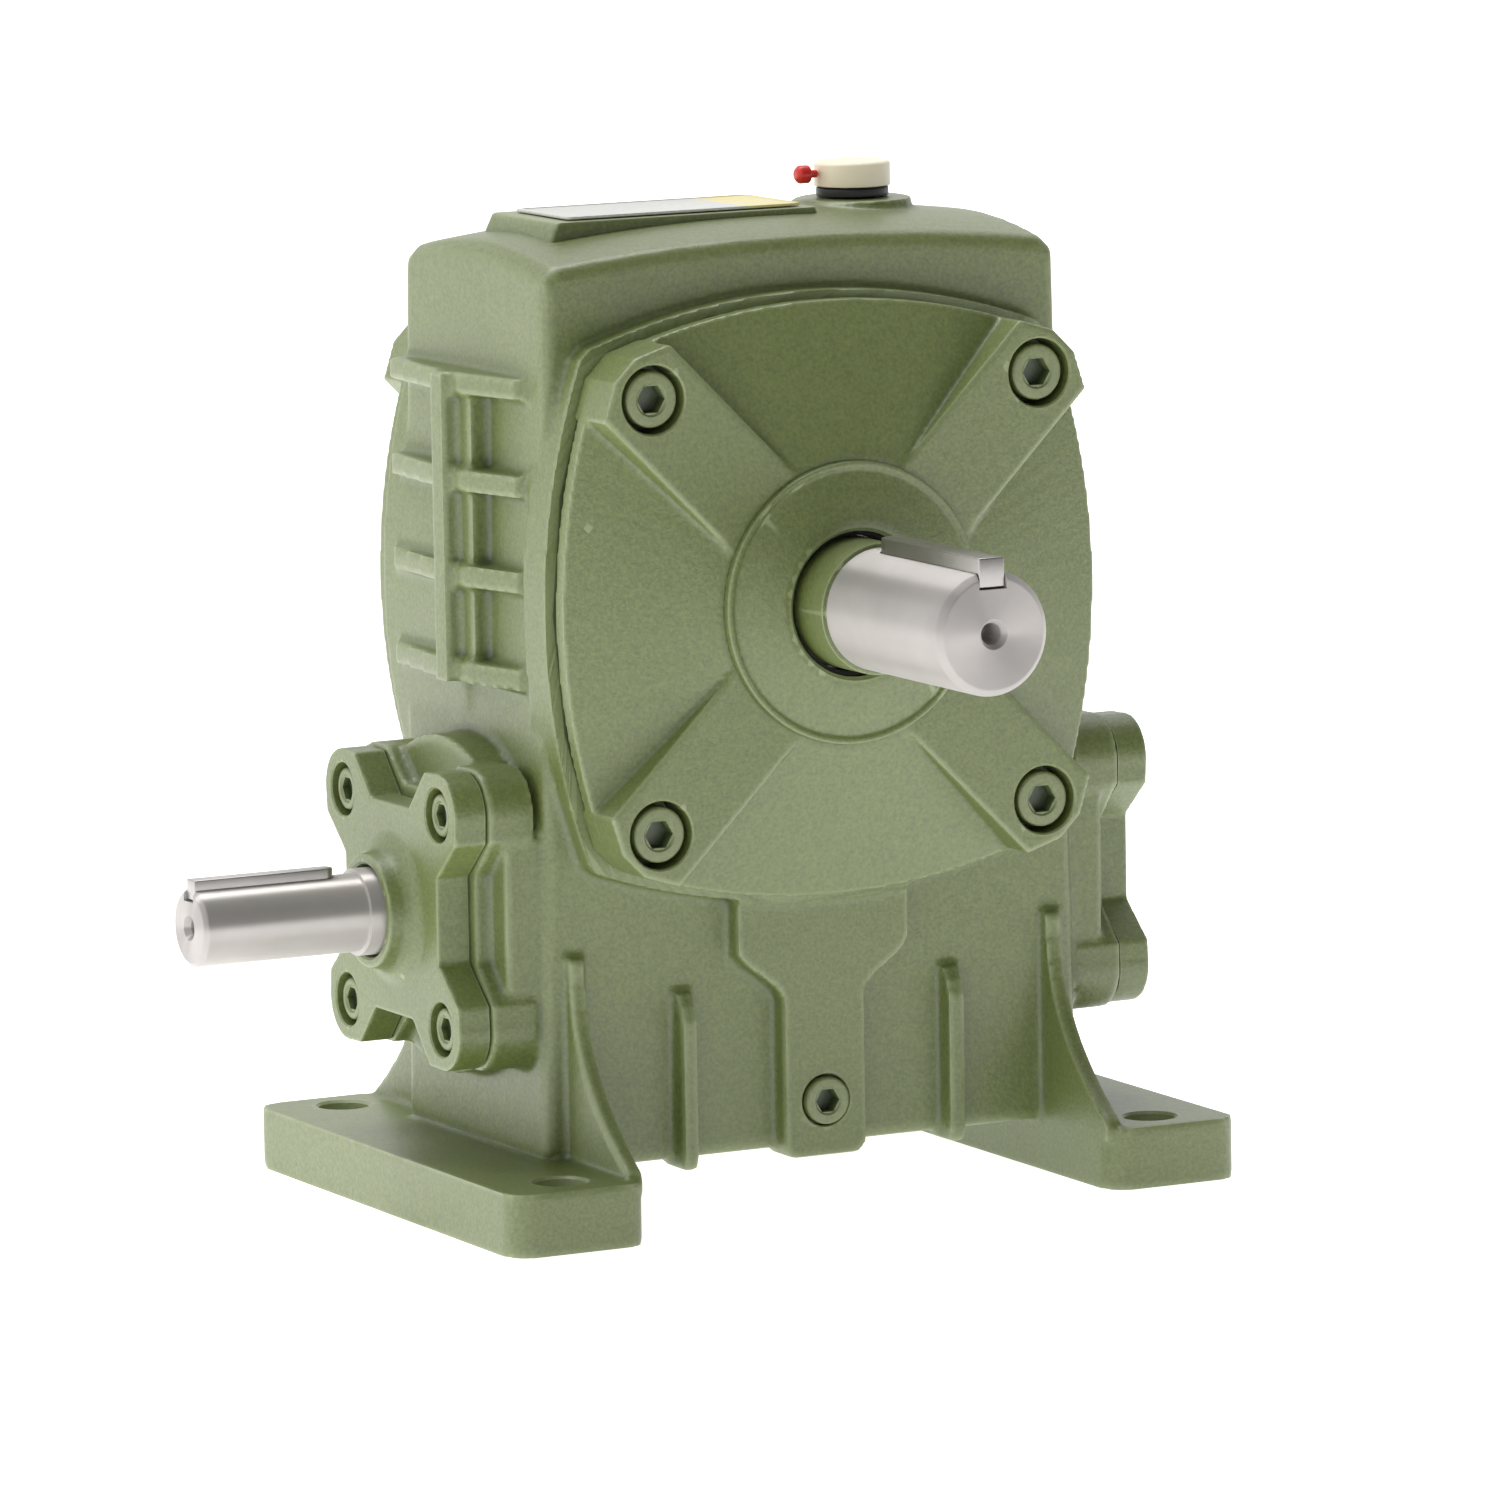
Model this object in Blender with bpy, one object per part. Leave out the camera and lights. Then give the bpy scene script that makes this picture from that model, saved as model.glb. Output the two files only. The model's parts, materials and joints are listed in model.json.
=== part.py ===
"""Worm gearbox, centre distance 70 mm, worm below the wheel, output shaft at the front.

All dimensions are in millimetres, and meshes are scaled to metres when they are made.
X runs along the worm away from its input end, Y runs along the output shaft from its
free end to the rear, and Z points up. Design coordinates start on the ground under the
point where the two shaft axes cross; the frame empty then moves the whole assembly so
that the origin lies at the bottom centre of its bounding box.
"""

from math import acos, asin, atan2, ceil, cos, degrees, pi, radians, sin, tan

import bmesh
import bpy
from mathutils import Matrix, Vector

MM = 0.001
GAP = 0.3  # left between touching pieces

# Shaft axes
WORM_Z = 70.0
CENTRE_DISTANCE = 70.0
WHEEL_Z = WORM_Z + CENTRE_DISTANCE
INPUT_END_X = -140.0
OUTPUT_END_Y = -125.0

# Feet
FOOT_OUTER_X = 93.5
FOOT_INNER_X = 59.5
FOOT_HALF_Y = 69.5
FOOT_HEIGHT = 14.5
FOOT_CORNER = 6.0
FOOT_HOLE_X = 76.0
FOOT_HOLE_Y = 57.5
FOOT_HOLE_RADIUS = 6.0

# Housing body
BODY_HALF_Y = 36.6
BODY_BOTTOM_Z = 12.0
BODY_TOP_Z = 217.0
BODY_CROWN_Z = 221.5
TOP_LIFT = 4.2  # how much higher the top is along its middle than along its edges
BODY_HALF_X_LOW = 69.3
BODY_HALF_X_TOP = 65.5
GUSSET_X = 61.6
GUSSET_HALF = 1.9
SMALL_RIB_X = 34.5
WHEEL_BORE_RADIUS = 62.0
WORM_BORE_RADIUS = 23.5
SUMP_HALF_X = 52.0
SUMP_HALF_Y = 28.5
SUMP_FLOOR_Z = 18.0
SUMP_TOP_Z = 100.0

# Bearing pads for the two large covers
PAD_HALF = 69.8
PAD_CORNER = 59.0
REAR_SWELL_Y = 2.0  # from here back the short walls swell out to the rear pad's outline
PAD_FACE_Y = 42.0

# Large covers
COVER_BACK_Y = 43.0
COVER_RIM_Y = 48.3
COVER_ARM_Y = 58.0
COVER_HUB_Y = 61.7
COVER_INSET = 1.8
COVER_HUB_RADIUS = 32.3
COVER_ARM_HALF = 12.0
COVER_ARM_REACH = 79.2
COVER_BOLT = 49.2
SPIGOT_Y = 37.5
BEARING_HUB_RADIUS = 39.0
BEARING_HUB_END_Y = 33.0

# Output bearings and seal (taper roller 30 x 62, seal 30 x 47 x 7)
OUTPUT_SEAT_RADIUS = 15.0
OUTPUT_BEARING_RADIUS = 31.0
OUTPUT_BEARING_Y = (36.0, 53.0)
OUTPUT_SEAL_RADIUS = 23.2
OUTPUT_SEAL_Y = (53.6, 60.0)
SHAFT_HOLE_RADIUS = 16.6

# Output shaft
OUTPUT_PIN_RADIUS = 14.0
OUTPUT_SHOULDER_Y = -72.0
OUTPUT_REAR_Y = 54.0
WHEEL_SEAT_RADIUS = 17.5
WHEEL_HUB_HALF_Y = 16.0
COLLAR_RADIUS = 23.0
COLLAR_REAR_Y = 22.0

# Gear pair: single-start right-hand worm and 30-tooth wheel
MODULE = 3.75
WHEEL_TEETH = 30
WORM_PITCH_RADIUS = 13.75
WHEEL_PITCH_RADIUS = MODULE * WHEEL_TEETH / 2
PRESSURE_ANGLE = radians(20)
LEAD = pi * MODULE
TOOTH_HALF_PITCH = LEAD / 4 - 0.2  # half a tooth's thickness on the pitch line
ADDENDUM = MODULE
DEDENDUM = 1.2 * MODULE
WORM_THREAD_HALF_X = 30.0
WHEEL_HALF_Y = 12.0
WHEEL_RIM_BORE = 43.0

# Worm shaft, its bearings (taper roller 20 x 47) and seal (20 x 35 x 7)
INPUT_PIN_RADIUS = 9.0
INPUT_SHOULDER_X = -99.0
WORM_SEAT_RADIUS = 10.0
WORM_COLLAR_RADIUS = 13.0
WORM_BEARING_RADIUS = 23.2
WORM_BEARING_X = (62.0, 77.0)
WORM_FAR_END_X = 79.0
INPUT_SEAL_RADIUS = 17.2
INPUT_SEAL_X = (80.4, 87.0)

# Lobed covers at the two ends of the worm
LOBE_Y = 25.0
LOBE_Z = 24.5
LOBE_RADIUS = 9.5
COVER_NOTCH = 24.4  # from the worm axis to the bottom of the notches between the lobes
LUG_NOTCH = 27.0
WORM_PAD_RADIUS = 39.0
WORM_PAD_X = 77.0
WORM_LUG_X = 81.0
LOBED_BACK_X = 82.0
LOBED_FACE_X = 89.5
INPUT_BOSS_X = 96.0
LOBED_SPIGOT_X = 78.2

# Socket-head screws: M8 on the large covers, M6 on the lobed covers
LARGE_SCREW = {"head": 6.5, "head_height": 8.0, "shank": 3.7, "socket": 3.5, "well": 7.8}
SMALL_SCREW = {"head": 5.0, "head_height": 4.5, "shank": 2.7, "socket": 2.8, "well": 6.2}

# Top: breather and wedge pad with its plate
BREATHER_X = 32.4
BREATHER_BOSS_RADIUS = 13.5
BREATHER_BOSS_Z = 226.2
BREATHER_TOP_Z = 234.6
BREATHER_CAP_RADIUS = 8.9
WEDGE_TOP_Z = 226.0
WEDGE_X = (-52.0, 14.0)
WEDGE_HALF_Y = 17.0

# Lower front panel with the drain plug
PANEL_FACE_Y = 41.5
DRAIN_Z = 23.2
LEVEL_Z = 56.0
PLUG_RADIUS = 5.5

GREEN = ((0.15, 0.19, 0.07, 1.0), 0.45, 0.0)
DARK_GREEN = ((0.11, 0.15, 0.06, 1.0), 0.5, 0.0)
STEEL = ((0.62, 0.60, 0.58, 1.0), 0.28, 1.0)
BEARING_STEEL = ((0.55, 0.56, 0.58, 1.0), 0.22, 1.0)
BRONZE = ((0.62, 0.36, 0.13, 1.0), 0.35, 1.0)
IRON = ((0.16, 0.16, 0.17, 1.0), 0.6, 0.8)
RUBBER = ((0.03, 0.03, 0.03, 1.0), 0.7, 0.0)
PAPER = ((0.10, 0.11, 0.07, 1.0), 0.8, 0.0)
BLACK_PLASTIC = ((0.02, 0.02, 0.02, 1.0), 0.5, 0.0)
CREAM_PLASTIC = ((0.80, 0.76, 0.64, 1.0), 0.4, 0.0)
RED_PLASTIC = ((0.65, 0.03, 0.02, 1.0), 0.4, 0.0)
YELLOW_PLATE = ((0.70, 0.62, 0.30, 1.0), 0.35, 0.9)

# Facets round each kind of round face
BORE_FACETS = 36
ROUND_FACETS = 24
SMALL_FACETS = 10
HIDDEN_FACETS = 8


# Scene helpers -------------------------------------------------------------------------


def clear_scene():
    for item in list(bpy.data.objects):
        bpy.data.objects.remove(item, do_unlink=True)


def material(name, look):
    """A Principled material from (colour, roughness, metallic), made once per name."""
    found = bpy.data.materials.get(name)
    if found:
        return found
    made = bpy.data.materials.new(name)
    made.use_nodes = True
    shader = made.node_tree.nodes["Principled BSDF"]
    colour, roughness, metallic = look
    shader.inputs["Base Color"].default_value = colour
    shader.inputs["Roughness"].default_value = roughness
    shader.inputs["Metallic"].default_value = metallic
    made.diffuse_color = colour
    return made


def empty(name, location, parent=None):
    holder = bpy.data.objects.new(name, None)
    holder.location = Vector(location) * MM
    holder.parent = parent
    bpy.context.collection.objects.link(holder)
    return holder


def mesh_object(name, mesh_builder):
    """A new object from a bmesh in millimetres, scaled to metres with normals out."""
    bmesh.ops.recalc_face_normals(mesh_builder, faces=mesh_builder.faces)
    bmesh.ops.scale(mesh_builder, vec=(MM, MM, MM), verts=mesh_builder.verts)
    mesh = bpy.data.meshes.new(name)
    mesh_builder.to_mesh(mesh)
    mesh_builder.free()
    mesh.shade_smooth()
    mesh.set_sharp_from_angle(angle=radians(30))
    made = bpy.data.objects.new(name, mesh)
    bpy.context.collection.objects.link(made)
    return made


def finish(piece, look_name, look, parent):
    """Gives a piece its material and its parent, keeping its mesh in design coordinates."""
    piece.data.materials.append(material(look_name, look))
    piece.parent = parent
    piece.matrix_parent_inverse = Matrix.Translation(-parent.location)
    return piece


def boolean(target, tool, operation):
    """Joins or cuts a target with a tool, which stays as a hidden guide."""
    step = target.modifiers.new(tool.name, "BOOLEAN")
    step.operation = operation
    step.object = tool
    tool.hide_render = True
    tool.display_type = "WIRE"
    tool.parent = target


def join(target, *tools):
    for tool in tools:
        boolean(target, tool, "UNION")


def cut(target, *tools):
    for tool in tools:
        boolean(target, tool, "DIFFERENCE")


# Shape helpers -------------------------------------------------------------------------


def place(axis, along, first, second):
    """A point from its distance along an axis and its two remaining coordinates."""
    if axis == "X":
        return (along, first, second)
    if axis == "Y":
        return (first, along, second)
    return (first, second, along)


def layers_solid(name, rings, closed_ring=False):
    """A solid through rings of equal length, with flat ends unless the last meets the first."""
    builder = bmesh.new()
    rows = [[builder.verts.new(point) for point in ring] for ring in rings]
    count = len(rows[0])
    pairs = list(zip(rows, rows[1:]))
    if closed_ring:
        pairs.append((rows[-1], rows[0]))
    else:
        builder.faces.new(rows[0])
        builder.faces.new(rows[-1])
    for low, high in pairs:
        for i in range(count):
            j = (i + 1) % count
            builder.faces.new((low[i], low[j], high[j], high[i]))
    return mesh_object(name, builder)


def prism(name, axis, outline, low, high):
    """An outline, given in the two other coordinates, extruded along an axis."""
    rings = [[place(axis, along, a, b) for a, b in outline] for along in (low, high)]
    return layers_solid(name, rings)


def box(name, low, high):
    outline = [(low[0], low[1]), (high[0], low[1]), (high[0], high[1]), (low[0], high[1])]
    return prism(name, "Z", outline, low[2], high[2])


def turned(name, axis, centre, profile, segments=ROUND_FACETS, ring=False):
    """A solid of revolution from (distance along the axis, radius) pairs."""
    rings = []
    for along, radius in profile:
        turns = [2 * pi * (i + 0.5) / segments for i in range(segments)]
        across = [(centre[0] + radius * cos(t), centre[1] + radius * sin(t)) for t in turns]
        rings.append([place(axis, along, a, b) for a, b in across])
    return layers_solid(name, rings, closed_ring=ring)


def rod(name, axis, centre, radius, low, high, segments=ROUND_FACETS):
    return turned(name, axis, centre, [(low, radius), (high, radius)], segments)


def arc(centre, radius, start, end, steps):
    """Points from one angle to another, in degrees, both ends included."""
    angles = [radians(start + (end - start) * i / steps) for i in range(steps + 1)]
    return [(centre[0] + radius * cos(t), centre[1] + radius * sin(t)) for t in angles]


def rounded_rectangle(low, high, radius, steps=2):
    """Corners as arcs, counter-clockwise from the upper right one."""
    corners = [
        ((high[0] - radius, high[1] - radius), 0),
        ((low[0] + radius, high[1] - radius), 90),
        ((low[0] + radius, low[1] + radius), 180),
        ((high[0] - radius, low[1] + radius), 270),
    ]
    outline = []
    for centre, start in corners:
        outline += arc(centre, radius, start, start + 90, steps)
    return outline


def bulged_square(half, corner, side_share, steps=4):
    """A square with bulged sides about the wheel axis: half at mid-side, corner at its corners.

    side_share is the share of each side that is kept; a straight cut joins the sides.
    """
    sag = half - corner
    radius = (corner**2 + sag**2) / (2 * sag)
    spread = degrees(asin(corner / radius)) * side_share
    outline = []
    for quarter in range(4):
        side = arc((half - radius, 0), radius, -spread, spread, steps)
        turn = Matrix.Rotation(quarter * pi / 2, 2)
        outline += [tuple(turn @ Vector(point)) for point in side]
    return [(x, z + WHEEL_Z) for x, z in outline]


def lobed_outline(notch_depth, lobe_radius, steps=4):
    """Four bolt lobes about the worm axis, with a flat-bottomed notch between each two."""
    notch_half = 10.0
    lobe_side = LOBE_Y - 6.4
    quadrant = [(notch_depth, notch_half), (LOBE_Y + lobe_radius - 0.3, lobe_side)]
    quadrant += arc((LOBE_Y, LOBE_Z), lobe_radius, -10, 100, steps)
    quadrant += [(lobe_side, LOBE_Z + lobe_radius - 0.3), (notch_half, notch_depth)]
    upper = quadrant + [(-y, z) for y, z in reversed(quadrant)]
    outline = upper + [(y, -z) for y, z in reversed(upper)]
    return [(y, z + WORM_Z) for y, z in outline]


def hexagon(name, axis, centre, radius, low, high):
    return rod(name, axis, centre, radius, low, high, segments=6)


# Fastenings ----------------------------------------------------------------------------


def screw(name, axis, centre, face, sign, depth, size, parent):
    """A socket-head screw sunk in a counterbore; sign is the way its head faces."""
    top = face - sign * 1.0
    under = top - sign * size["head_height"]
    end = under - sign * depth
    head = size["head"]
    profile = [(end, size["shank"]), (under, size["shank"]), (under, head), (top - sign * 0.6, head)]
    profile.append((top, head - 0.6))
    piece = turned(name, axis, centre, profile, SMALL_FACETS)
    cut(piece, hexagon(f"guide_{name}_socket", axis, centre, size["socket"], top + sign, top - sign * 3.5))
    return finish(piece, "screw_green", DARK_GREEN, parent)


def screw_well(name, axis, centre, face, sign, size):
    """The counterbore with its through hole, as one cutter."""
    floor = face - sign * (1.0 + size["head_height"] + GAP)
    hole = size["shank"] + GAP
    far = floor - sign * 25.0
    profile = [(far, hole), (floor, hole), (floor, size["well"]), (face + sign * 2.0, size["well"])]
    return turned(name, axis, centre, profile, SMALL_FACETS)


def screw_places(centre, half_first, half_second):
    signs = ((-1, 1), (1, 1), (-1, -1), (1, -1))
    return [(centre[0] + a * half_first, centre[1] + b * half_second) for a, b in signs]


# Housing -------------------------------------------------------------------------------


def body_outline(lift):
    """Front outline of the body, its arched top raised by lift."""
    crown_rise = BODY_CROWN_Z - BODY_TOP_Z
    crown_radius = (BODY_HALF_X_TOP**2 + crown_rise**2) / (2 * crown_rise)
    spread = degrees(asin((BODY_HALF_X_TOP - 2) / crown_radius))
    crown = arc((0, BODY_CROWN_Z - crown_radius + lift), crown_radius, 90 - spread, 90 + spread, 6)
    base = BODY_HALF_X_LOW
    top = BODY_HALF_X_TOP
    right = [(base - 4, BODY_BOTTOM_Z), (base, BODY_BOTTOM_Z + 4), (top, BODY_TOP_Z - 2.5)]
    left = [(-x, z) for x, z in reversed(right)]
    return right + crown + left


def gusset(name, x, side):
    """A curved web from the body wall down on to the foot."""
    start_y, start_z = BODY_HALF_Y + 2.6, 60.5
    toe_y, toe_z = 66.5, 16.0
    curve = []
    for i in range(6):
        t = i / 5
        curve.append((start_y + (toe_y - start_y) * t**1.9, start_z - (start_z - toe_z) * t**0.8))
    buried = BODY_HALF_Y - 3
    outline = curve + [(toe_y, FOOT_HEIGHT - 2), (buried, FOOT_HEIGHT - 2), (buried, start_z + 3)]
    ends = (x - GUSSET_HALF, x + GUSSET_HALF)
    return prism(name, "X", [(side * y, z) for y, z in outline], *ends)


def small_rib(name, x, side):
    """A low vertical rib on the lower wall, hooked under the body."""
    outline = [(BODY_HALF_Y - 3, 10.0), (40.6, 10.0), (41.4, 13.0), (41.4, 44.0), (BODY_HALF_Y - 3, 52.0)]
    return prism(name, "X", [(side * y, z) for y, z in outline], x - 1.8, x + 1.8)


def panel(name, side):
    """The raised panel round the plug, flaring up to the bearing pad."""
    narrow, wide = 10.5, 22.0
    low_z, flare_height = 47.0, 13.0
    flare = []
    for i in range(5):
        widening = (1 - cos(pi * i / 4)) / 2
        flare.append((narrow + (wide - narrow) * widening, low_z + flare_height * i / 4))
    right = [(narrow - 2, 10.2), (narrow, 12.5)] + flare + [(wide, 74.0)]
    outline = right + [(-x, z) for x, z in reversed(right)]
    ends = sorted((side * (BODY_HALF_Y - 3), side * PANEL_FACE_Y))
    return prism(name, "Y", outline, *ends)


def wall_ribs(side):
    """The upright spine and the four level ribs on the short wall above the worm."""
    wall = 66.0
    low, high = sorted((side * (wall - 2), side * (wall + 9.5)))
    pieces = [box(f"guide_spine_{side}", (low, -3.2, 121.5), (high, 3.2, 192.5))]
    step_low, step_high = sorted((side * (wall - 2), side * (wall + 5.5)))
    pieces.append(box(f"guide_spine_step_{side}", (step_low, -9.0, 121.5), (step_high, 2.0, 192.5)))
    for i, z in enumerate((124.0, 146.0, 168.0, 190.0)):
        near, far = side * (wall - 1.5), side * (wall + 7.5)
        outline = [(near, -30.0), (side * (wall + 3.2), -27.0), (far, -8.0)]
        outline += [(far, 8.0), (side * (wall + 5.0), 34.0), (near, 36.0)]
        pieces.append(prism(f"guide_wall_rib_{side}_{i}", "Z", outline, z - 2.4, z + 2.4))
    return pieces


def worm_pads(side):
    """The clipped round pad and the lobed lug that carry a worm cover."""
    clip = 34.5
    angle = degrees(acos(clip / WORM_PAD_RADIUS))
    upper = arc((0, WORM_Z), WORM_PAD_RADIUS, angle, 180 - angle, 8)
    lower = arc((0, WORM_Z), WORM_PAD_RADIUS, 180 + angle, 360 - angle, 8)
    disc = prism(f"guide_worm_pad_{side}", "X", upper + lower, *sorted((side * 60.0, side * WORM_PAD_X)))
    lug_outline = lobed_outline(LUG_NOTCH, LOBE_RADIUS + 0.8)
    lug = prism(f"guide_worm_lug_{side}", "X", lug_outline, *sorted((side * 74.0, side * WORM_LUG_X)))
    return [disc, lug]


def wedge():
    low, high = WEDGE_X
    foot = 2.0
    rings = []
    for z, grow in ((214.0, foot), (BODY_CROWN_Z, foot * 0.4), (WEDGE_TOP_Z, 0.0)):
        half = WEDGE_HALF_Y + grow
        outline = rounded_rectangle((low - grow, -half), (high + grow, half), 3.0, 2)
        rings.append([(x, y, z) for x, y in outline])
    return layers_solid("guide_wedge", rings)


def housing(parent):
    sections = []
    for share in (-1.0, -0.6, 0.0, 0.6, 1.0):
        outline = body_outline(TOP_LIFT * (1 - share**2))
        sections.append([(x, share * BODY_HALF_Y, z) for x, z in outline])
    body = layers_solid("housing", sections)
    for side in (-1, 1):
        near, far = (FOOT_INNER_X, -FOOT_HALF_Y), (FOOT_OUTER_X, FOOT_HALF_Y)
        foot_outline = [(side * x, y) for x, y in rounded_rectangle(near, far, FOOT_CORNER)]
        foot = prism(f"guide_foot_{side}", "Z", foot_outline, 0.0, FOOT_HEIGHT)
        pad_outline = bulged_square(PAD_HALF, PAD_CORNER, 0.97)
        pad_start = -(BODY_HALF_Y - 2) if side < 0 else REAR_SWELL_Y
        pad_ends = sorted((pad_start, side * PAD_FACE_Y))
        pad = prism(f"guide_pad_{side}", "Y", pad_outline, *pad_ends)
        join(body, foot, pad, panel(f"guide_panel_{side}", side), *wall_ribs(side), *worm_pads(side))
        for x in (-GUSSET_X, GUSSET_X):
            join(body, gusset(f"guide_gusset_{side}_{int(x)}", x, side))
        for x in (-SMALL_RIB_X, SMALL_RIB_X):
            join(body, small_rib(f"guide_small_rib_{side}_{int(x)}", x, side))
    boss_centre = (BREATHER_X, 0.0)
    boss_profile = [(212.0, BREATHER_BOSS_RADIUS + 1.5), (BREATHER_BOSS_Z, BREATHER_BOSS_RADIUS)]
    join(body, wedge(), turned("guide_breather_boss", "Z", boss_centre, boss_profile))
    cut_housing(body)
    return finish(body, "paint_green", GREEN, parent)


def cut_housing(body):
    wheel_centre, worm_centre = (0.0, WHEEL_Z), (0.0, WORM_Z)
    reach = PAD_FACE_Y + 5
    cut(body, rod("guide_wheel_bore", "Y", wheel_centre, WHEEL_BORE_RADIUS, -reach, reach, BORE_FACETS))
    worm_reach = WORM_LUG_X + 5
    cut(body, rod("guide_worm_bore", "X", worm_centre, WORM_BORE_RADIUS, -worm_reach, worm_reach))
    sump_low = (-SUMP_HALF_X, -SUMP_HALF_Y, SUMP_FLOOR_Z)
    cut(body, box("guide_sump", sump_low, (SUMP_HALF_X, SUMP_HALF_Y, SUMP_TOP_Z)))
    for x in (-FOOT_HOLE_X, FOOT_HOLE_X):
        for y in (-FOOT_HOLE_Y, FOOT_HOLE_Y):
            name = f"guide_foot_hole_{int(x)}_{int(y)}"
            cut(body, rod(name, "Z", (x, y), FOOT_HOLE_RADIUS, -2.0, FOOT_HEIGHT + 4, SMALL_FACETS))
    for side in (-1, 1):
        for i, centre in enumerate(screw_places(wheel_centre, COVER_BOLT, COVER_BOLT)):
            ends = sorted((side * 24.0, side * (PAD_FACE_Y + 2)))
            cut(body, rod(f"guide_tap_{side}_{i}", "Y", centre, 4.2, *ends, HIDDEN_FACETS))
        for i, centre in enumerate(screw_places(worm_centre, LOBE_Y, LOBE_Z)):
            ends = sorted((side * 68.0, side * (WORM_LUG_X + 2)))
            cut(body, rod(f"guide_lug_tap_{side}_{i}", "X", centre, 3.1, *ends, HIDDEN_FACETS))
    drain_profile = [(-PANEL_FACE_Y - 2, PLUG_RADIUS + 0.5), (-PANEL_FACE_Y + 3.3, PLUG_RADIUS + 0.5)]
    drain_profile += [(-PANEL_FACE_Y + 3.3, 4.2), (-24.0, 4.2)]
    cut(body, turned("guide_drain", "Y", (0.0, DRAIN_Z), drain_profile, SMALL_FACETS))
    level_profile = [(-along, radius) for along, radius in drain_profile]
    cut(body, turned("guide_level", "Y", (0.0, LEVEL_Z), level_profile, SMALL_FACETS))
    vent_centre = (BREATHER_X, 0.0)
    cut(body, rod("guide_breather_hole", "Z", vent_centre, 5.3, 190.0, BREATHER_BOSS_Z + 2, SMALL_FACETS))


# Covers --------------------------------------------------------------------------------


def facing(side, profile):
    """A profile drawn for the positive side, mirrored for side -1."""
    return [(side * along, radius) for along, radius in profile]


def arm_outline(turn):
    """One diagonal bar across the cover, its ends cut off along the plate's corners."""
    reach, half, tip_half = COVER_ARM_REACH, COVER_ARM_HALF, 3.7
    bar = [(-reach, -tip_half), (-reach + 4.2, -half), (reach - 4.2, -half), (reach, -tip_half)]
    bar += [(-a, -b) for a, b in bar]
    spin = Matrix.Rotation(turn, 2)
    turned_bar = [spin @ Vector(point) for point in bar]
    return [(point.x, point.y + WHEEL_Z) for point in turned_bar]


def cover_shell(name, side):
    """The plate, whose face rises from its bulged edge to the round hub."""
    outline = bulged_square(PAD_HALF - COVER_INSET, PAD_CORNER - COVER_INSET, 0.93, 8)

    def circle(radius):
        turns = [atan2(z - WHEEL_Z, x) for x, z in outline]
        return [(radius * cos(t), WHEEL_Z + radius * sin(t)) for t in turns]

    rows = [(COVER_BACK_Y, outline), (COVER_RIM_Y, outline)]
    rows.append((COVER_ARM_Y - 0.4, circle(COVER_HUB_RADIUS + 2)))
    rows += [(COVER_ARM_Y + 0.8, circle(COVER_HUB_RADIUS)), (COVER_HUB_Y, circle(19.0))]
    return layers_solid(name, [[(x, side * y, z) for x, z in row] for y, row in rows])


def output_cover(name, side, with_hole, parent):
    """A large cover; side is -1 at the front and 1 at the rear."""
    centre = (0.0, WHEEL_Z)

    def span(low, high):
        return sorted((side * low, side * high))

    cover = cover_shell(name, side)
    for i, turn in enumerate((pi / 4, -pi / 4)):
        arm_ends = span(COVER_BACK_Y + 1, COVER_ARM_Y)
        join(cover, prism(f"guide_{name}_arm_{i}", "Y", arm_outline(turn), *arm_ends))
    spigot_ends = span(SPIGOT_Y, COVER_BACK_Y + 2)
    spigot_radius = WHEEL_BORE_RADIUS - GAP
    hub_ends = span(BEARING_HUB_END_Y, COVER_BACK_Y + 2)
    join(cover, rod(f"guide_{name}_spigot", "Y", centre, spigot_radius, *spigot_ends, BORE_FACETS))
    join(cover, rod(f"guide_{name}_inner_hub", "Y", centre, BEARING_HUB_RADIUS, *hub_ends))
    cut(cover, turned(f"guide_{name}_pocket", "Y", centre, facing(side, cover_pocket(with_hole))))
    face = side * COVER_ARM_Y
    for i, spot in enumerate(screw_places(centre, COVER_BOLT, COVER_BOLT)):
        cut(cover, screw_well(f"guide_{name}_well_{i}", "Y", spot, face, side, LARGE_SCREW))
        screw(f"{name}_bolt_{i + 1}", "Y", spot, face, side, 16.0, LARGE_SCREW, parent)
    return finish(cover, "paint_green", GREEN, parent)


def cover_pocket(with_hole):
    """Bearing pocket, then the seal recess and shaft hole, or the end pocket of the blind cover."""
    pocket_radius = OUTPUT_BEARING_RADIUS + GAP
    pocket_end = OUTPUT_BEARING_Y[1] + GAP
    recess_radius = OUTPUT_SEAL_RADIUS + GAP
    recess_end = OUTPUT_SEAL_Y[1] + GAP if with_hole else OUTPUT_REAR_Y + 1.5
    pocket = [(BEARING_HUB_END_Y - 2, pocket_radius), (pocket_end, pocket_radius)]
    pocket += [(pocket_end, recess_radius), (recess_end, recess_radius)]
    if with_hole:
        pocket += [(recess_end, SHAFT_HOLE_RADIUS), (COVER_HUB_Y + 2, SHAFT_HOLE_RADIUS)]
    return pocket


def output_gasket(name, side, parent):
    outline = bulged_square(PAD_HALF - COVER_INSET - 0.3, PAD_CORNER - COVER_INSET - 0.3, 0.93)
    ends = sorted((side * (PAD_FACE_Y + GAP), side * (COVER_BACK_Y - GAP)))
    gasket = prism(name, "Y", outline, *ends)
    through = (ends[0] - 1, ends[1] + 1)
    centre = (0.0, WHEEL_Z)
    cut(gasket, rod(f"guide_{name}_bore", "Y", centre, WHEEL_BORE_RADIUS + 0.3, *through, BORE_FACETS))
    for i, spot in enumerate(screw_places(centre, COVER_BOLT, COVER_BOLT)):
        cut(gasket, rod(f"guide_{name}_hole_{i}", "Y", spot, 4.2, *through, HIDDEN_FACETS))
    return finish(gasket, "gasket_paper", PAPER, parent)


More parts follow.
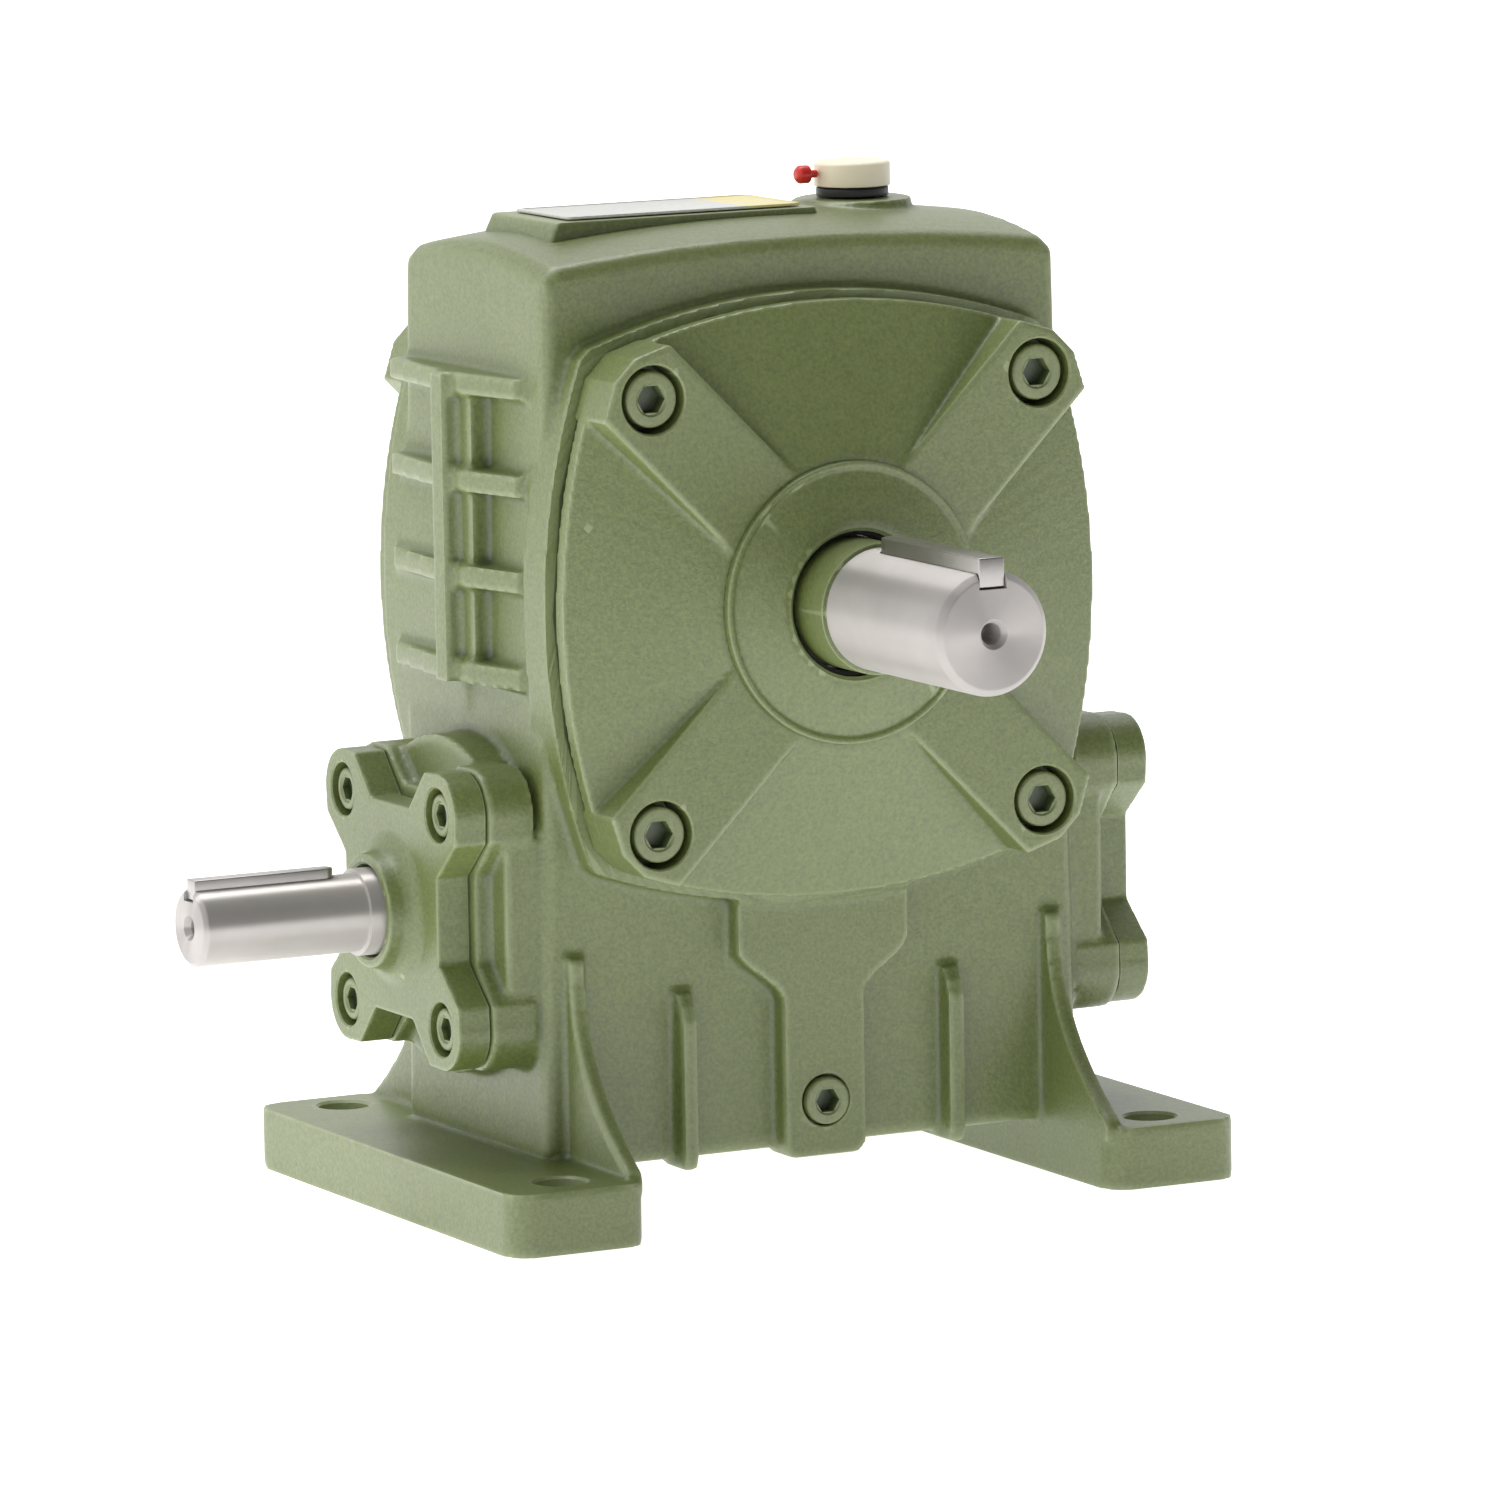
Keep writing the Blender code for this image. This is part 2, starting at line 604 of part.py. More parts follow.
def lobed_cover(name, side, with_hole, parent):
    """A cover on one end of the worm bore; side is -1 at the input and 1 at the far end."""
    centre = (0.0, WORM_Z)
    outline = lobed_outline(COVER_NOTCH, LOBE_RADIUS)
    cover = prism(name, "X", outline, *sorted((side * LOBED_BACK_X, side * LOBED_FACE_X)))
    spigot_ends = sorted((side * LOBED_SPIGOT_X, side * (LOBED_BACK_X + 2)))
    join(cover, rod(f"guide_{name}_spigot", "X", centre, WORM_BORE_RADIUS - GAP, *spigot_ends))
    start = LOBED_SPIGOT_X - 2
    if with_hole:
        boss = [(LOBED_BACK_X + 1, 19.0), (LOBED_FACE_X - 0.5, 19.0), (LOBED_FACE_X + 1.2, 14.6)]
        boss.append((INPUT_BOSS_X, 13.0))
        join(cover, turned(f"guide_{name}_boss", "X", centre, facing(side, boss)))
        recess = INPUT_SEAL_RADIUS + GAP
        recess_end = INPUT_SEAL_X[1] + GAP
        pocket = [(start, recess), (recess_end, recess), (recess_end, 10.8), (INPUT_BOSS_X + 2, 10.8)]
    else:
        pocket = [(start, 18.0), (LOBED_BACK_X + 1, 18.0)]
    cut(cover, turned(f"guide_{name}_pocket", "X", centre, facing(side, pocket)))
    face = side * LOBED_FACE_X
    for i, spot in enumerate(screw_places(centre, LOBE_Y, LOBE_Z)):
        cut(cover, screw_well(f"guide_{name}_well_{i}", "X", spot, face, side, SMALL_SCREW))
        screw(f"{name}_bolt_{i + 1}", "X", spot, face, side, 11.0, SMALL_SCREW, parent)
    return finish(cover, "paint_green", GREEN, parent)


def lobed_gasket(name, side, parent):
    ends = sorted((side * (WORM_LUG_X + GAP), side * (LOBED_BACK_X - GAP)))
    gasket = prism(name, "X", lobed_outline(COVER_NOTCH, LOBE_RADIUS - 0.3), *ends)
    through = (ends[0] - 1, ends[1] + 1)
    centre = (0.0, WORM_Z)
    cut(gasket, rod(f"guide_{name}_bore", "X", centre, WORM_BORE_RADIUS + 0.1, *through))
    for i, spot in enumerate(screw_places(centre, LOBE_Y, LOBE_Z)):
        cut(gasket, rod(f"guide_{name}_hole_{i}", "X", spot, 3.2, *through, HIDDEN_FACETS))
    return finish(gasket, "gasket_paper", PAPER, parent)


# Bearings and seals --------------------------------------------------------------------


def ring_piece(name, axis, centre, profile, look_name, look, parent):
    return finish(turned(name, axis, centre, profile, ring=True), look_name, look, parent)


def roller_set(name, axis, centre, ends, radii, roller_radius, parent, rollers=10):
    """Rollers and cage as one lobed ring, its radii growing from the first end to the second."""
    builder = bmesh.new()
    pitch = 2 * pi / rollers
    angles = []
    for k in range(rollers):
        angles += [((k + share) * pitch, share in (0.25, 0.75)) for share in (0.0, 0.25, 0.75)]

    def ring_points(along, middle, outward):
        points = []
        for angle, on_roller in angles:
            radius = middle + outward * (roller_radius if on_roller else 0.6)
            across = (centre[0] + radius * cos(angle), centre[1] + radius * sin(angle))
            points.append(place(axis, along, *across))
        return [builder.verts.new(point) for point in points]

    rows = [ring_points(ends[0], radii[0], 1), ring_points(ends[1], radii[1], 1)]
    rows += [ring_points(ends[1], radii[1], -1), ring_points(ends[0], radii[0], -1)]
    for low, high in zip(rows, rows[1:] + rows[:1]):
        for i in range(len(low)):
            j = (i + 1) % len(low)
            builder.faces.new((low[i], low[j], high[j], high[i]))
    return finish(mesh_object(name, builder), "bearing_steel", BEARING_STEEL, parent)


def taper_bearing(name, axis, centre, ends, sizes, parents):
    """Inner ring, roller set and outer ring; ends run from the gearbox's middle outwards.

    sizes are the bore, outer and roller radii; parents hold the outer ring, inner ring and rollers.
    """
    inner_end, outer_end = ends
    bore, outer, roller_radius = sizes
    fixed, inner_parent, cage_parent = parents
    sign = 1 if outer_end > inner_end else -1
    small = (bore + outer) / 2 - 0.6
    large = small + 1.6
    margin = roller_radius + 0.55
    inner = [(inner_end, bore), (inner_end, large - margin), (outer_end, small - margin), (outer_end, bore)]
    ring_piece(f"{name}_inner_ring", axis, centre, inner, "bearing_steel", BEARING_STEEL, inner_parent)
    rim = sign * 1.2
    outer_profile = [(inner_end + rim, outer), (inner_end + rim, large + margin)]
    outer_profile += [(outer_end, small + margin), (outer_end, outer)]
    ring_piece(f"{name}_outer_ring", axis, centre, outer_profile, "bearing_steel", BEARING_STEEL, fixed)
    roller_ends = (outer_end - rim, inner_end + 2 * rim)
    radii = (small + 0.12, large - 0.22)
    roller_set(f"{name}_rollers", axis, centre, roller_ends, radii, roller_radius, cage_parent)


def seals(parent):
    clearance = 0.5
    output_radii = (OUTPUT_SEAT_RADIUS + clearance, OUTPUT_SEAL_RADIUS)
    input_radii = (WORM_SEAT_RADIUS + clearance, INPUT_SEAL_RADIUS)
    rows = [
        ("output_seal", "Y", (0.0, WHEEL_Z), OUTPUT_SEAL_Y, output_radii),
        ("input_seal", "X", (0.0, WORM_Z), INPUT_SEAL_X, input_radii),
    ]
    for name, axis, centre, (near, far), (bore, outer) in rows:
        profile = facing(-1, [(near, bore), (far, bore), (far, outer), (near, outer)])
        ring_piece(name, axis, centre, profile, "seal_rubber", RUBBER, parent)


# Output shaft group --------------------------------------------------------------------


def keyway(name, axis, along, across, centre_z, half_width):
    """A cutter with one rounded end, open towards the shaft's free end and upwards."""
    low, high = along
    end = arc((0, 0), half_width, 90, -90, 4)
    outline = [(low, half_width)] + [(high - half_width + a, b) for a, b in end] + [(low, -half_width)]
    if axis == "Y":
        outline = [(b, a) for a, b in outline]
    return prism(name, "Z", outline, centre_z + across[0], centre_z + across[1])


def output_shaft(parent):
    centre = (0.0, WHEEL_Z)
    seat = OUTPUT_SEAT_RADIUS
    pin = OUTPUT_PIN_RADIUS
    profile = [(OUTPUT_END_Y, pin - 1.5), (OUTPUT_END_Y + 1.5, pin), (OUTPUT_SHOULDER_Y, pin)]
    hub_front, hub_rear = -WHEEL_HUB_HALF_Y - 0.5, WHEEL_HUB_HALF_Y + GAP
    profile += [(OUTPUT_SHOULDER_Y, seat), (hub_front, seat), (hub_front, WHEEL_SEAT_RADIUS)]
    profile += [(hub_rear, WHEEL_SEAT_RADIUS), (hub_rear, COLLAR_RADIUS), (COLLAR_REAR_Y, COLLAR_RADIUS)]
    profile += [(COLLAR_REAR_Y, seat), (OUTPUT_REAR_Y, seat)]
    shaft = turned("output_shaft", "Y", centre, profile)
    centre_ends = (OUTPUT_END_Y - 2, OUTPUT_END_Y + 10)
    cut(shaft, rod("guide_output_centre", "Y", centre, 2.8, *centre_ends, SMALL_FACETS))
    slot = keyway("guide_output_keyway", "Y", (OUTPUT_END_Y - 2, -76.0), (pin - 4.0, pin + 5), WHEEL_Z, 3.5)
    wheel_slot = box("guide_wheel_keyway", (-5.0, -14.0, WHEEL_Z + 13.0), (5.0, 14.0, WHEEL_Z + 24.0))
    cut(shaft, slot, wheel_slot)
    finish(shaft, "bare_steel", STEEL, parent)
    key_ends = (OUTPUT_END_Y + 0.6, -76.0 - GAP)
    key = keyway("output_key", "Y", key_ends, (pin - 4.0 + GAP, pin + 3.0), WHEEL_Z, 3.5 - GAP)
    finish(key, "key_steel", STEEL, parent)
    wheel_key = box("wheel_key", (-4.7, -13.7, WHEEL_Z + 13.3), (4.7, 13.7, WHEEL_Z + 20.0))
    finish(wheel_key, "key_steel", STEEL, parent)


def spacers(parent):
    race_y = OUTPUT_BEARING_Y[0] - GAP
    bore = OUTPUT_SEAT_RADIUS + GAP
    front_end, rear_start = -WHEEL_HUB_HALF_Y - 0.8, COLLAR_REAR_Y + GAP
    for name, low, high in (("spacer_front", -race_y, front_end), ("spacer_rear", rear_start, race_y)):
        profile = [(low, bore), (high, bore), (high, 20.0), (low, 20.0)]
        ring_piece(name, "Y", (0.0, WHEEL_Z), profile, "bare_steel", STEEL, parent)


def wheel_outline():
    """Outline of the 30-tooth wheel with a gap at its lowest point, about its own axis."""
    base = WHEEL_PITCH_RADIUS * cos(PRESSURE_ANGLE)
    root = WHEEL_PITCH_RADIUS - DEDENDUM
    tip = WHEEL_PITCH_RADIUS + ADDENDUM

    def involute(radius):
        bent = acos(min(1.0, base / radius))
        return tan(bent) - bent

    def half_angle(radius):
        pitch_half = TOOTH_HALF_PITCH / WHEEL_PITCH_RADIUS
        return pitch_half + involute(WHEEL_PITCH_RADIUS) - involute(max(radius, base))

    flank = [(radius, half_angle(radius)) for radius in (root, WHEEL_PITCH_RADIUS, tip)]
    points = []
    for tooth in range(WHEEL_TEETH):
        middle = -pi / 2 + 2 * pi * (tooth + 0.5) / WHEEL_TEETH
        points += [(radius, middle - half) for radius, half in flank]
        points += [(radius, middle + half) for radius, half in reversed(flank)]
    return points


def wheel(parent):
    """The bronze rim, each slice turned to follow the worm thread, on an iron hub."""
    slices = 2
    builder = bmesh.new()
    rows, bores = [], []
    outline = wheel_outline()
    for i in range(slices + 1):
        y = -WHEEL_HALF_Y + 2 * WHEEL_HALF_Y * i / slices
        # A turn of +Y carries the bottom of the wheel towards -X, which lowers the drawn angle.
        turn = -LEAD / (2 * pi) * asin(y / WORM_PITCH_RADIUS) / WHEEL_PITCH_RADIUS
        points = [(r * cos(t + turn), y, WHEEL_Z + r * sin(t + turn)) for r, t in outline]
        rows.append([builder.verts.new(point) for point in points])
    for y in (-WHEEL_HALF_Y, WHEEL_HALF_Y):
        turns = [2 * pi * i / WHEEL_TEETH - pi / 2 for i in range(WHEEL_TEETH)]
        ring = [(WHEEL_RIM_BORE * cos(t), y, WHEEL_Z + WHEEL_RIM_BORE * sin(t)) for t in turns]
        bores.append([builder.verts.new(point) for point in ring])
    count = len(outline)
    for low, high in zip(rows, rows[1:]):
        for i in range(count):
            j = (i + 1) % count
            builder.faces.new((low[i], low[j], high[j], high[i]))
    for i in range(WHEEL_TEETH):
        j = (i + 1) % WHEEL_TEETH
        builder.faces.new((bores[0][i], bores[0][j], bores[1][j], bores[1][i]))
        for edge, bore in ((rows[0], bores[0]), (rows[-1], bores[1])):
            tooth = [edge[(6 * i + k) % count] for k in range(7)]
            builder.faces.new(tooth + [bore[j], bore[i]])
    finish(mesh_object("wheel_rim", builder), "bronze", BRONZE, parent)
    hub_bore = WHEEL_SEAT_RADIUS + GAP
    rim_seat = WHEEL_RIM_BORE * cos(pi / WHEEL_TEETH) - GAP
    profile = [(-WHEEL_HUB_HALF_Y, hub_bore), (-WHEEL_HUB_HALF_Y, 27.0), (-6.0, 29.0), (-6.0, 35.0)]
    profile += [(-11.0, 37.0), (-11.0, rim_seat), (11.0, rim_seat), (11.0, 37.0), (6.0, 35.0)]
    profile += [(6.0, 29.0), (WHEEL_HUB_HALF_Y, 27.0), (WHEEL_HUB_HALF_Y, hub_bore)]
    hub = turned("wheel_hub", "Y", (0.0, WHEEL_Z), profile, ring=True)
    slot_low = (-5.0, -WHEEL_HUB_HALF_Y - 1, WHEEL_Z + 15.0)
    cut(hub, box("guide_hub_keyway", slot_low, (5.0, WHEEL_HUB_HALF_Y + 1, WHEEL_Z + 20.4)))
    finish(hub, "cast_iron", IRON, parent)


# Worm shaft group ----------------------------------------------------------------------


def thread_section():
    """Cross-section of the single-start worm with its crest at +Z, as (radius, angle) pairs."""
    tip = WORM_PITCH_RADIUS + ADDENDUM
    root = WORM_PITCH_RADIUS - DEDENDUM
    slope = tan(PRESSURE_ANGLE)
    crest = 2 * pi * (TOOTH_HALF_PITCH - ADDENDUM * slope) / LEAD
    foot = 2 * pi * (TOOTH_HALF_PITCH + DEDENDUM * slope) / LEAD
    right = [(tip, -crest / 2), (tip, -crest), (WORM_PITCH_RADIUS, -(crest + foot) / 2)]
    right += [(root, -foot), (root, -(foot + pi) / 2)]
    left = [(radius, -angle) for radius, angle in right]
    return [(tip, 0.0)] + left + [(root, pi)] + right[::-1]


def worm_shaft(parent):
    centre = (0.0, WORM_Z)
    per_turn = 10
    count = ceil(2 * WORM_THREAD_HALF_X / LEAD * per_turn)
    rings = []
    for i in range(count + 1):
        x = -WORM_THREAD_HALF_X + 2 * WORM_THREAD_HALF_X * i / count
        turn = pi / 2 + 2 * pi * x / LEAD
        section = thread_section()
        rings.append([(x, r * cos(t + turn), WORM_Z + r * sin(t + turn)) for r, t in section])
    thread = layers_solid("guide_thread", rings)
    pin, seat = INPUT_PIN_RADIUS, WORM_SEAT_RADIUS
    collar = WORM_BEARING_X[0] - GAP
    core = WORM_PITCH_RADIUS - DEDENDUM - 1.0
    neck = WORM_THREAD_HALF_X - 1.0
    profile = [(INPUT_END_X, pin - 1.0), (INPUT_END_X + 1.0, pin), (INPUT_SHOULDER_X, pin)]
    profile += [(INPUT_SHOULDER_X, seat), (-collar, seat), (-collar, WORM_COLLAR_RADIUS)]
    profile += [(-collar + 10, WORM_COLLAR_RADIUS), (-neck - 6, 9.6), (-neck, core), (neck, core)]
    profile += [(neck + 6, 9.6), (collar - 10, WORM_COLLAR_RADIUS), (collar, WORM_COLLAR_RADIUS)]
    profile += [(collar, seat), (WORM_FAR_END_X - 1, seat), (WORM_FAR_END_X, seat - 1)]
    shaft = turned("worm_shaft", "X", centre, profile)
    join(shaft, thread)
    centre_ends = (INPUT_END_X - 2, INPUT_END_X + 8)
    cut(shaft, rod("guide_input_centre", "X", centre, 2.4, *centre_ends, SMALL_FACETS))
    slot = keyway("guide_input_keyway", "X", (INPUT_END_X - 2, -104.0), (pin - 3.0, pin + 5), WORM_Z, 2.5)
    cut(shaft, slot)
    finish(shaft, "bare_steel", STEEL, parent)
    key_ends = (INPUT_END_X + 0.6, -104.0 - GAP)
    key = keyway("input_key", "X", key_ends, (pin - 3.0 + GAP, pin + 2.0), WORM_Z, 2.5 - GAP)
    finish(key, "key_steel", STEEL, parent)


# Small fittings ------------------------------------------------------------------------


def plug(name, z, side, parent):
    face = PANEL_FACE_Y + 1.2
    under_head = PANEL_FACE_Y - 3
    profile = [(32.0, 3.8), (under_head, 3.8), (under_head, PLUG_RADIUS)]
    profile += [(face - 0.6, PLUG_RADIUS), (face, PLUG_RADIUS - 0.6)]
    piece = turned(name, "Y", (0.0, z), facing(side, profile), SMALL_FACETS)
    ends = sorted((side * (face - 4), side * (face + 1)))
    cut(piece, hexagon(f"guide_{name}_socket", "Y", (0.0, z), 2.9, *ends))
    return finish(piece, "screw_green", DARK_GREEN, parent)


def breather(parent):
    centre = (BREATHER_X, 0.0)
    seat = BREATHER_BOSS_Z + GAP
    neck_top = 228.6
    cap_radius = BREATHER_CAP_RADIUS
    neck = cap_radius - 0.5
    base = [(208.0, 5.0), (seat, 5.0), (seat, neck), (neck_top, neck)]
    finish(turned("breather_base", "Z", centre, base), "black_plastic", BLACK_PLASTIC, parent)
    low = neck_top + GAP
    cap = [(low, cap_radius - 0.5), (low + 0.5, cap_radius)]
    cap += [(BREATHER_TOP_Z - 0.8, cap_radius), (BREATHER_TOP_Z, cap_radius - 0.8)]
    finish(turned("breather_cap", "Z", centre, cap), "cream_plastic", CREAM_PLASTIC, parent)
    pin_end = BREATHER_X - cap_radius - GAP
    pin = [(pin_end - 5.6, 1.2), (pin_end - 4.9, 2.1), (pin_end - 2.2, 2.1)]
    pin += [(pin_end - 2.0, 0.9), (pin_end, 0.9)]
    finish(turned("breather_pin", "X", (0.0, 232.0), pin, SMALL_FACETS), "red_plastic", RED_PLASTIC, parent)


def nameplate(parent):
    low, high = WEDGE_X
    outline = rounded_rectangle((low + 4, -WEDGE_HALF_Y + 3), (high - 2, WEDGE_HALF_Y - 3), 2.0, 2)
    bottom = WEDGE_TOP_Z + GAP
    plate = prism("nameplate", "Z", outline, bottom, bottom + 0.6)
    return finish(plate, "yellow_plate", YELLOW_PLATE, parent)


# Assembly ------------------------------------------------------------------------------


def output_bearings(root, shaft_parent, frame):
    centre = (0.0, WHEEL_Z)
    for name, side in (("output_bearing_front", -1), ("output_bearing_rear", 1)):
        cage = empty(f"{name}_axis", (0.0, side * 45.0, WHEEL_Z), frame)
        ends = tuple(side * y for y in OUTPUT_BEARING_Y)
        bore = OUTPUT_SEAT_RADIUS + GAP
        sizes = (bore, OUTPUT_BEARING_RADIUS, 3.0)
        taper_bearing(name, "Y", centre, ends, sizes, (root, shaft_parent, cage))


def worm_bearings(root, shaft_parent, frame):
    centre = (0.0, WORM_Z)
    for name, side in (("worm_bearing_input", -1), ("worm_bearing_far", 1)):
        cage = empty(f"{name}_axis", (side * 69.0, 0.0, WORM_Z), frame)
        ends = tuple(side * x for x in WORM_BEARING_X)
        bore = WORM_SEAT_RADIUS + GAP
        sizes = (bore, WORM_BEARING_RADIUS, 2.4)
        taper_bearing(name, "X", centre, ends, sizes, (root, shaft_parent, cage))


def build():
    frame_offset = (-(INPUT_END_X + FOOT_OUTER_X) / 2, -(OUTPUT_END_Y + FOOT_HALF_Y) / 2, 0.0)
    frame = empty("frame", frame_offset)
    root = empty("housing_frame", (0.0, 0.0, 0.0), frame)
    output_axis = empty("output_axis", (0.0, 0.0, WHEEL_Z), frame)
    worm_axis = empty("worm_axis", (0.0, 0.0, WORM_Z), frame)
    housing(root)
    output_cover("output_cover_front", -1, True, root)
    output_cover("output_cover_rear", 1, False, root)
    output_gasket("output_gasket_front", -1, root)
    output_gasket("output_gasket_rear", 1, root)
    lobed_cover("input_cover", -1, True, root)
    lobed_cover("worm_end_cover", 1, False, root)
    lobed_gasket("input_gasket", -1, root)
    lobed_gasket("worm_end_gasket", 1, root)
    output_shaft(output_axis)
    spacers(output_axis)
    wheel(output_axis)
    worm_shaft(worm_axis)
    output_bearings(root, output_axis, frame)
    worm_bearings(root, worm_axis, frame)
    seals(root)
    plug("drain_plug", DRAIN_Z, -1, root)
    plug("oil_level_plug", LEVEL_Z, 1, root)
    breather(root)
    nameplate(root)


clear_scene()
build()
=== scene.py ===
"""Looks of the worm gearbox: painted castings, turned steel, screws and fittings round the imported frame.

Lengths in this file are millimetres in the design frame: origin on the ground under the point
where the worm axis (along X) and the wheel axis (along Y) cross. World positions come from the
frame's boxes, so each piece lies where its CAD node lies.
"""

import json
from math import asin, acos, atan2, ceil, cos, degrees, pi, radians, sin, tan

import bmesh
import bpy
from mathutils import Matrix, Vector


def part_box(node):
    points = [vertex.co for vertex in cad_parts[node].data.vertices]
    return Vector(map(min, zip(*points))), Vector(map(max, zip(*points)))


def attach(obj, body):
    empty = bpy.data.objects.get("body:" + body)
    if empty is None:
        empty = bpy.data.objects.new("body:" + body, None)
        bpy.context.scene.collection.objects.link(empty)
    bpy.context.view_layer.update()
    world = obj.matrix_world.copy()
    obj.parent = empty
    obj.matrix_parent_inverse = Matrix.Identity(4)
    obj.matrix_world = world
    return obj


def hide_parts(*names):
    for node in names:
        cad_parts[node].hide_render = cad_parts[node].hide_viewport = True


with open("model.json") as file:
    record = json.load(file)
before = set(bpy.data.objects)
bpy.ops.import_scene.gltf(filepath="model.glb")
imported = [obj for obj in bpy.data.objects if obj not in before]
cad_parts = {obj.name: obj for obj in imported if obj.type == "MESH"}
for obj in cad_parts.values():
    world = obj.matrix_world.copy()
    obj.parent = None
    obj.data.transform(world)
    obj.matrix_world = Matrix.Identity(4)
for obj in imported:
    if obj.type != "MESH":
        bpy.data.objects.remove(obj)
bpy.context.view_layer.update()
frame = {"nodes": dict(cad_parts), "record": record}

MM = 0.001

# Places read from the frame ---------------------------------------------------------------

cover_low, cover_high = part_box("output_cover_front")
input_low, input_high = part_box("input_cover")
far_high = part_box("worm_end_cover")[1]
housing_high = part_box("housing")[1]
output_low, output_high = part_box("output_shaft")
worm_low, worm_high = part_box("worm_shaft")

ORIGIN = Vector(((cover_low.x + cover_high.x) / 2, (input_low.y + input_high.y) / 2, 0.0))
WHEEL_Z = (cover_low.z + cover_high.z) / 2 / MM
WORM_Z = (input_low.z + input_high.z) / 2 / MM
OUTPUT_END_Y = (output_low.y - ORIGIN.y) / MM
OUTPUT_REAR_Y = (output_high.y - ORIGIN.y) / MM
INPUT_END_X = (worm_low.x - ORIGIN.x) / MM
WORM_FAR_END_X = (worm_high.x - ORIGIN.x) / MM
FOOT_OUTER_X = (housing_high.x - ORIGIN.x) / MM
FOOT_HALF_Y = (housing_high.y - ORIGIN.y) / MM
COVER_HUB_Y = (ORIGIN.y - cover_low.y) / MM
LOBED_FACE_X = (far_high.x - ORIGIN.x) / MM
INPUT_BOSS_X = (ORIGIN.x - input_low.x) / MM

# Housing casting
FOOT_INNER_X = 59.5
FOOT_HEIGHT = 14.5
FOOT_HOLE_X, FOOT_HOLE_Y, FOOT_HOLE_RADIUS = 76.0, 57.5, 6.0
BODY_HALF_Y = 36.6
BODY_BOTTOM_Z, BODY_TOP_Z, BODY_CROWN_Z, TOP_LIFT = 12.0, 217.0, 221.5, 4.2
BODY_HALF_X_LOW, BODY_HALF_X_TOP = 69.3, 65.5
BODY_EDGE = 2.6
PAD_HALF, PAD_CORNER, PAD_FACE_Y, REAR_SWELL_Y = 69.8, 59.0, 42.25, 2.0
WHEEL_BORE_RADIUS, WORM_BORE_RADIUS = 62.0, 23.5
SUMP = ((-52.0, -28.5, 18.0), (52.0, 28.5, 100.0))
GUSSET_X, SMALL_RIB_X = 61.6, 34.5
WALL_X = 66.0
SPINE_Z, WALL_RIB_HEIGHTS = (121.5, 192.5), (124.0, 146.0, 168.0, 190.0)
PANEL_FACE_Y = 41.5
DRAIN_Z, LEVEL_Z = 23.2, 56.0
PLUG_RADIUS = 5.5

# Large covers
COVER_BACK_Y, COVER_RIM_Y, COVER_ARM_Y = 42.75, 48.3, 58.0
COVER_INSET, COVER_HUB_RADIUS, COVER_BOLT = 1.8, 32.3, 49.2
COVER_ARM_HALF, COVER_ARM_REACH = 11.8, 79.2
SHAFT_HOLE_RADIUS = 16.6

# Lobed covers on the worm bore
LOBE_Y, LOBE_Z, LOBE_RADIUS = 25.0, 24.5, 9.5
COVER_NOTCH, LUG_NOTCH = 24.4, 27.0
WORM_PAD_RADIUS, WORM_PAD_X, WORM_LUG_X = 39.0, 77.0, 81.25
LOBED_BACK_X = 81.75
INPUT_HOLE_RADIUS = 10.8

# Screws: radius and height of the head, radius of the hex socket and of the shank
LARGE_SCREW = (6.4, 8.0, 3.5, 3.7)
SMALL_SCREW = (4.9, 4.5, 2.9, 2.7)
LARGE_WELL, SMALL_WELL = 7.8, 6.2
SCREW_SINK = 1.0

# Shafts and keys
OUTPUT_SHOULDER_Y, KEY_END_Y, PAINT_END_Y = -72.0, -76.0, -58.0
INPUT_SHOULDER_X, INPUT_KEY_END_X = -99.0, -104.0

# Top
BREATHER_X, BREATHER_BOSS_RADIUS, BREATHER_BOSS_Z = 32.4, 13.5, 226.2
VENT_RADIUS = 5.3
WEDGE_TOP_Z, WEDGE_HALF_Y = 226.0, 17.0
WEDGE_X = (-52.0, 14.0)

# Voxel size and smoothing rounds of the castings
HOUSING_VOXEL, COVER_VOXEL, LOBED_VOXEL = 0.9, 0.62, 0.5
SMOOTH_ROUNDS = 2
MOST_TRIANGLES = 190000


# Mesh tools -------------------------------------------------------------------------------


def place(axis, along, first, second):
    """A point from its distance along an axis and its two other coordinates."""
    if axis == "X":
        return (along, first, second)
    if axis == "Y":
        return (first, along, second)
    return (first, second, along)


def new_object(name, mesh):
    made = bpy.data.objects.new(name, mesh)
    bpy.context.scene.collection.objects.link(made)
    return made


def mesh_object(name, builder):
    """An object from a bmesh in design millimetres, moved to world metres, normals out."""
    bmesh.ops.recalc_face_normals(builder, faces=builder.faces)
    to_world = Matrix.Translation(ORIGIN) @ Matrix.Scale(MM, 4)
    bmesh.ops.transform(builder, matrix=to_world, verts=builder.verts)
    mesh = bpy.data.meshes.new(name)
    builder.to_mesh(mesh)
    builder.free()
    return new_object(name, mesh)


def layers(name, rings, closed=False):
    """A solid through rings of equal length, capped unless the last ring meets the first."""
    builder = bmesh.new()
    rows = [[builder.verts.new(point) for point in ring] for ring in rings]
    pairs = list(zip(rows, rows[1:]))
    if closed:
        pairs.append((rows[-1], rows[0]))
    else:
        builder.faces.new(rows[0])
        builder.faces.new(rows[-1])
    count = len(rows[0])
    for low, high in pairs:
        for i in range(count):
            j = (i + 1) % count
            builder.faces.new((low[i], low[j], high[j], high[i]))
    return mesh_object(name, builder)


def prism(name, axis, outline, low, high):
    rings = [[place(axis, along, a, b) for a, b in outline] for along in (low, high)]
    return layers(name, rings)


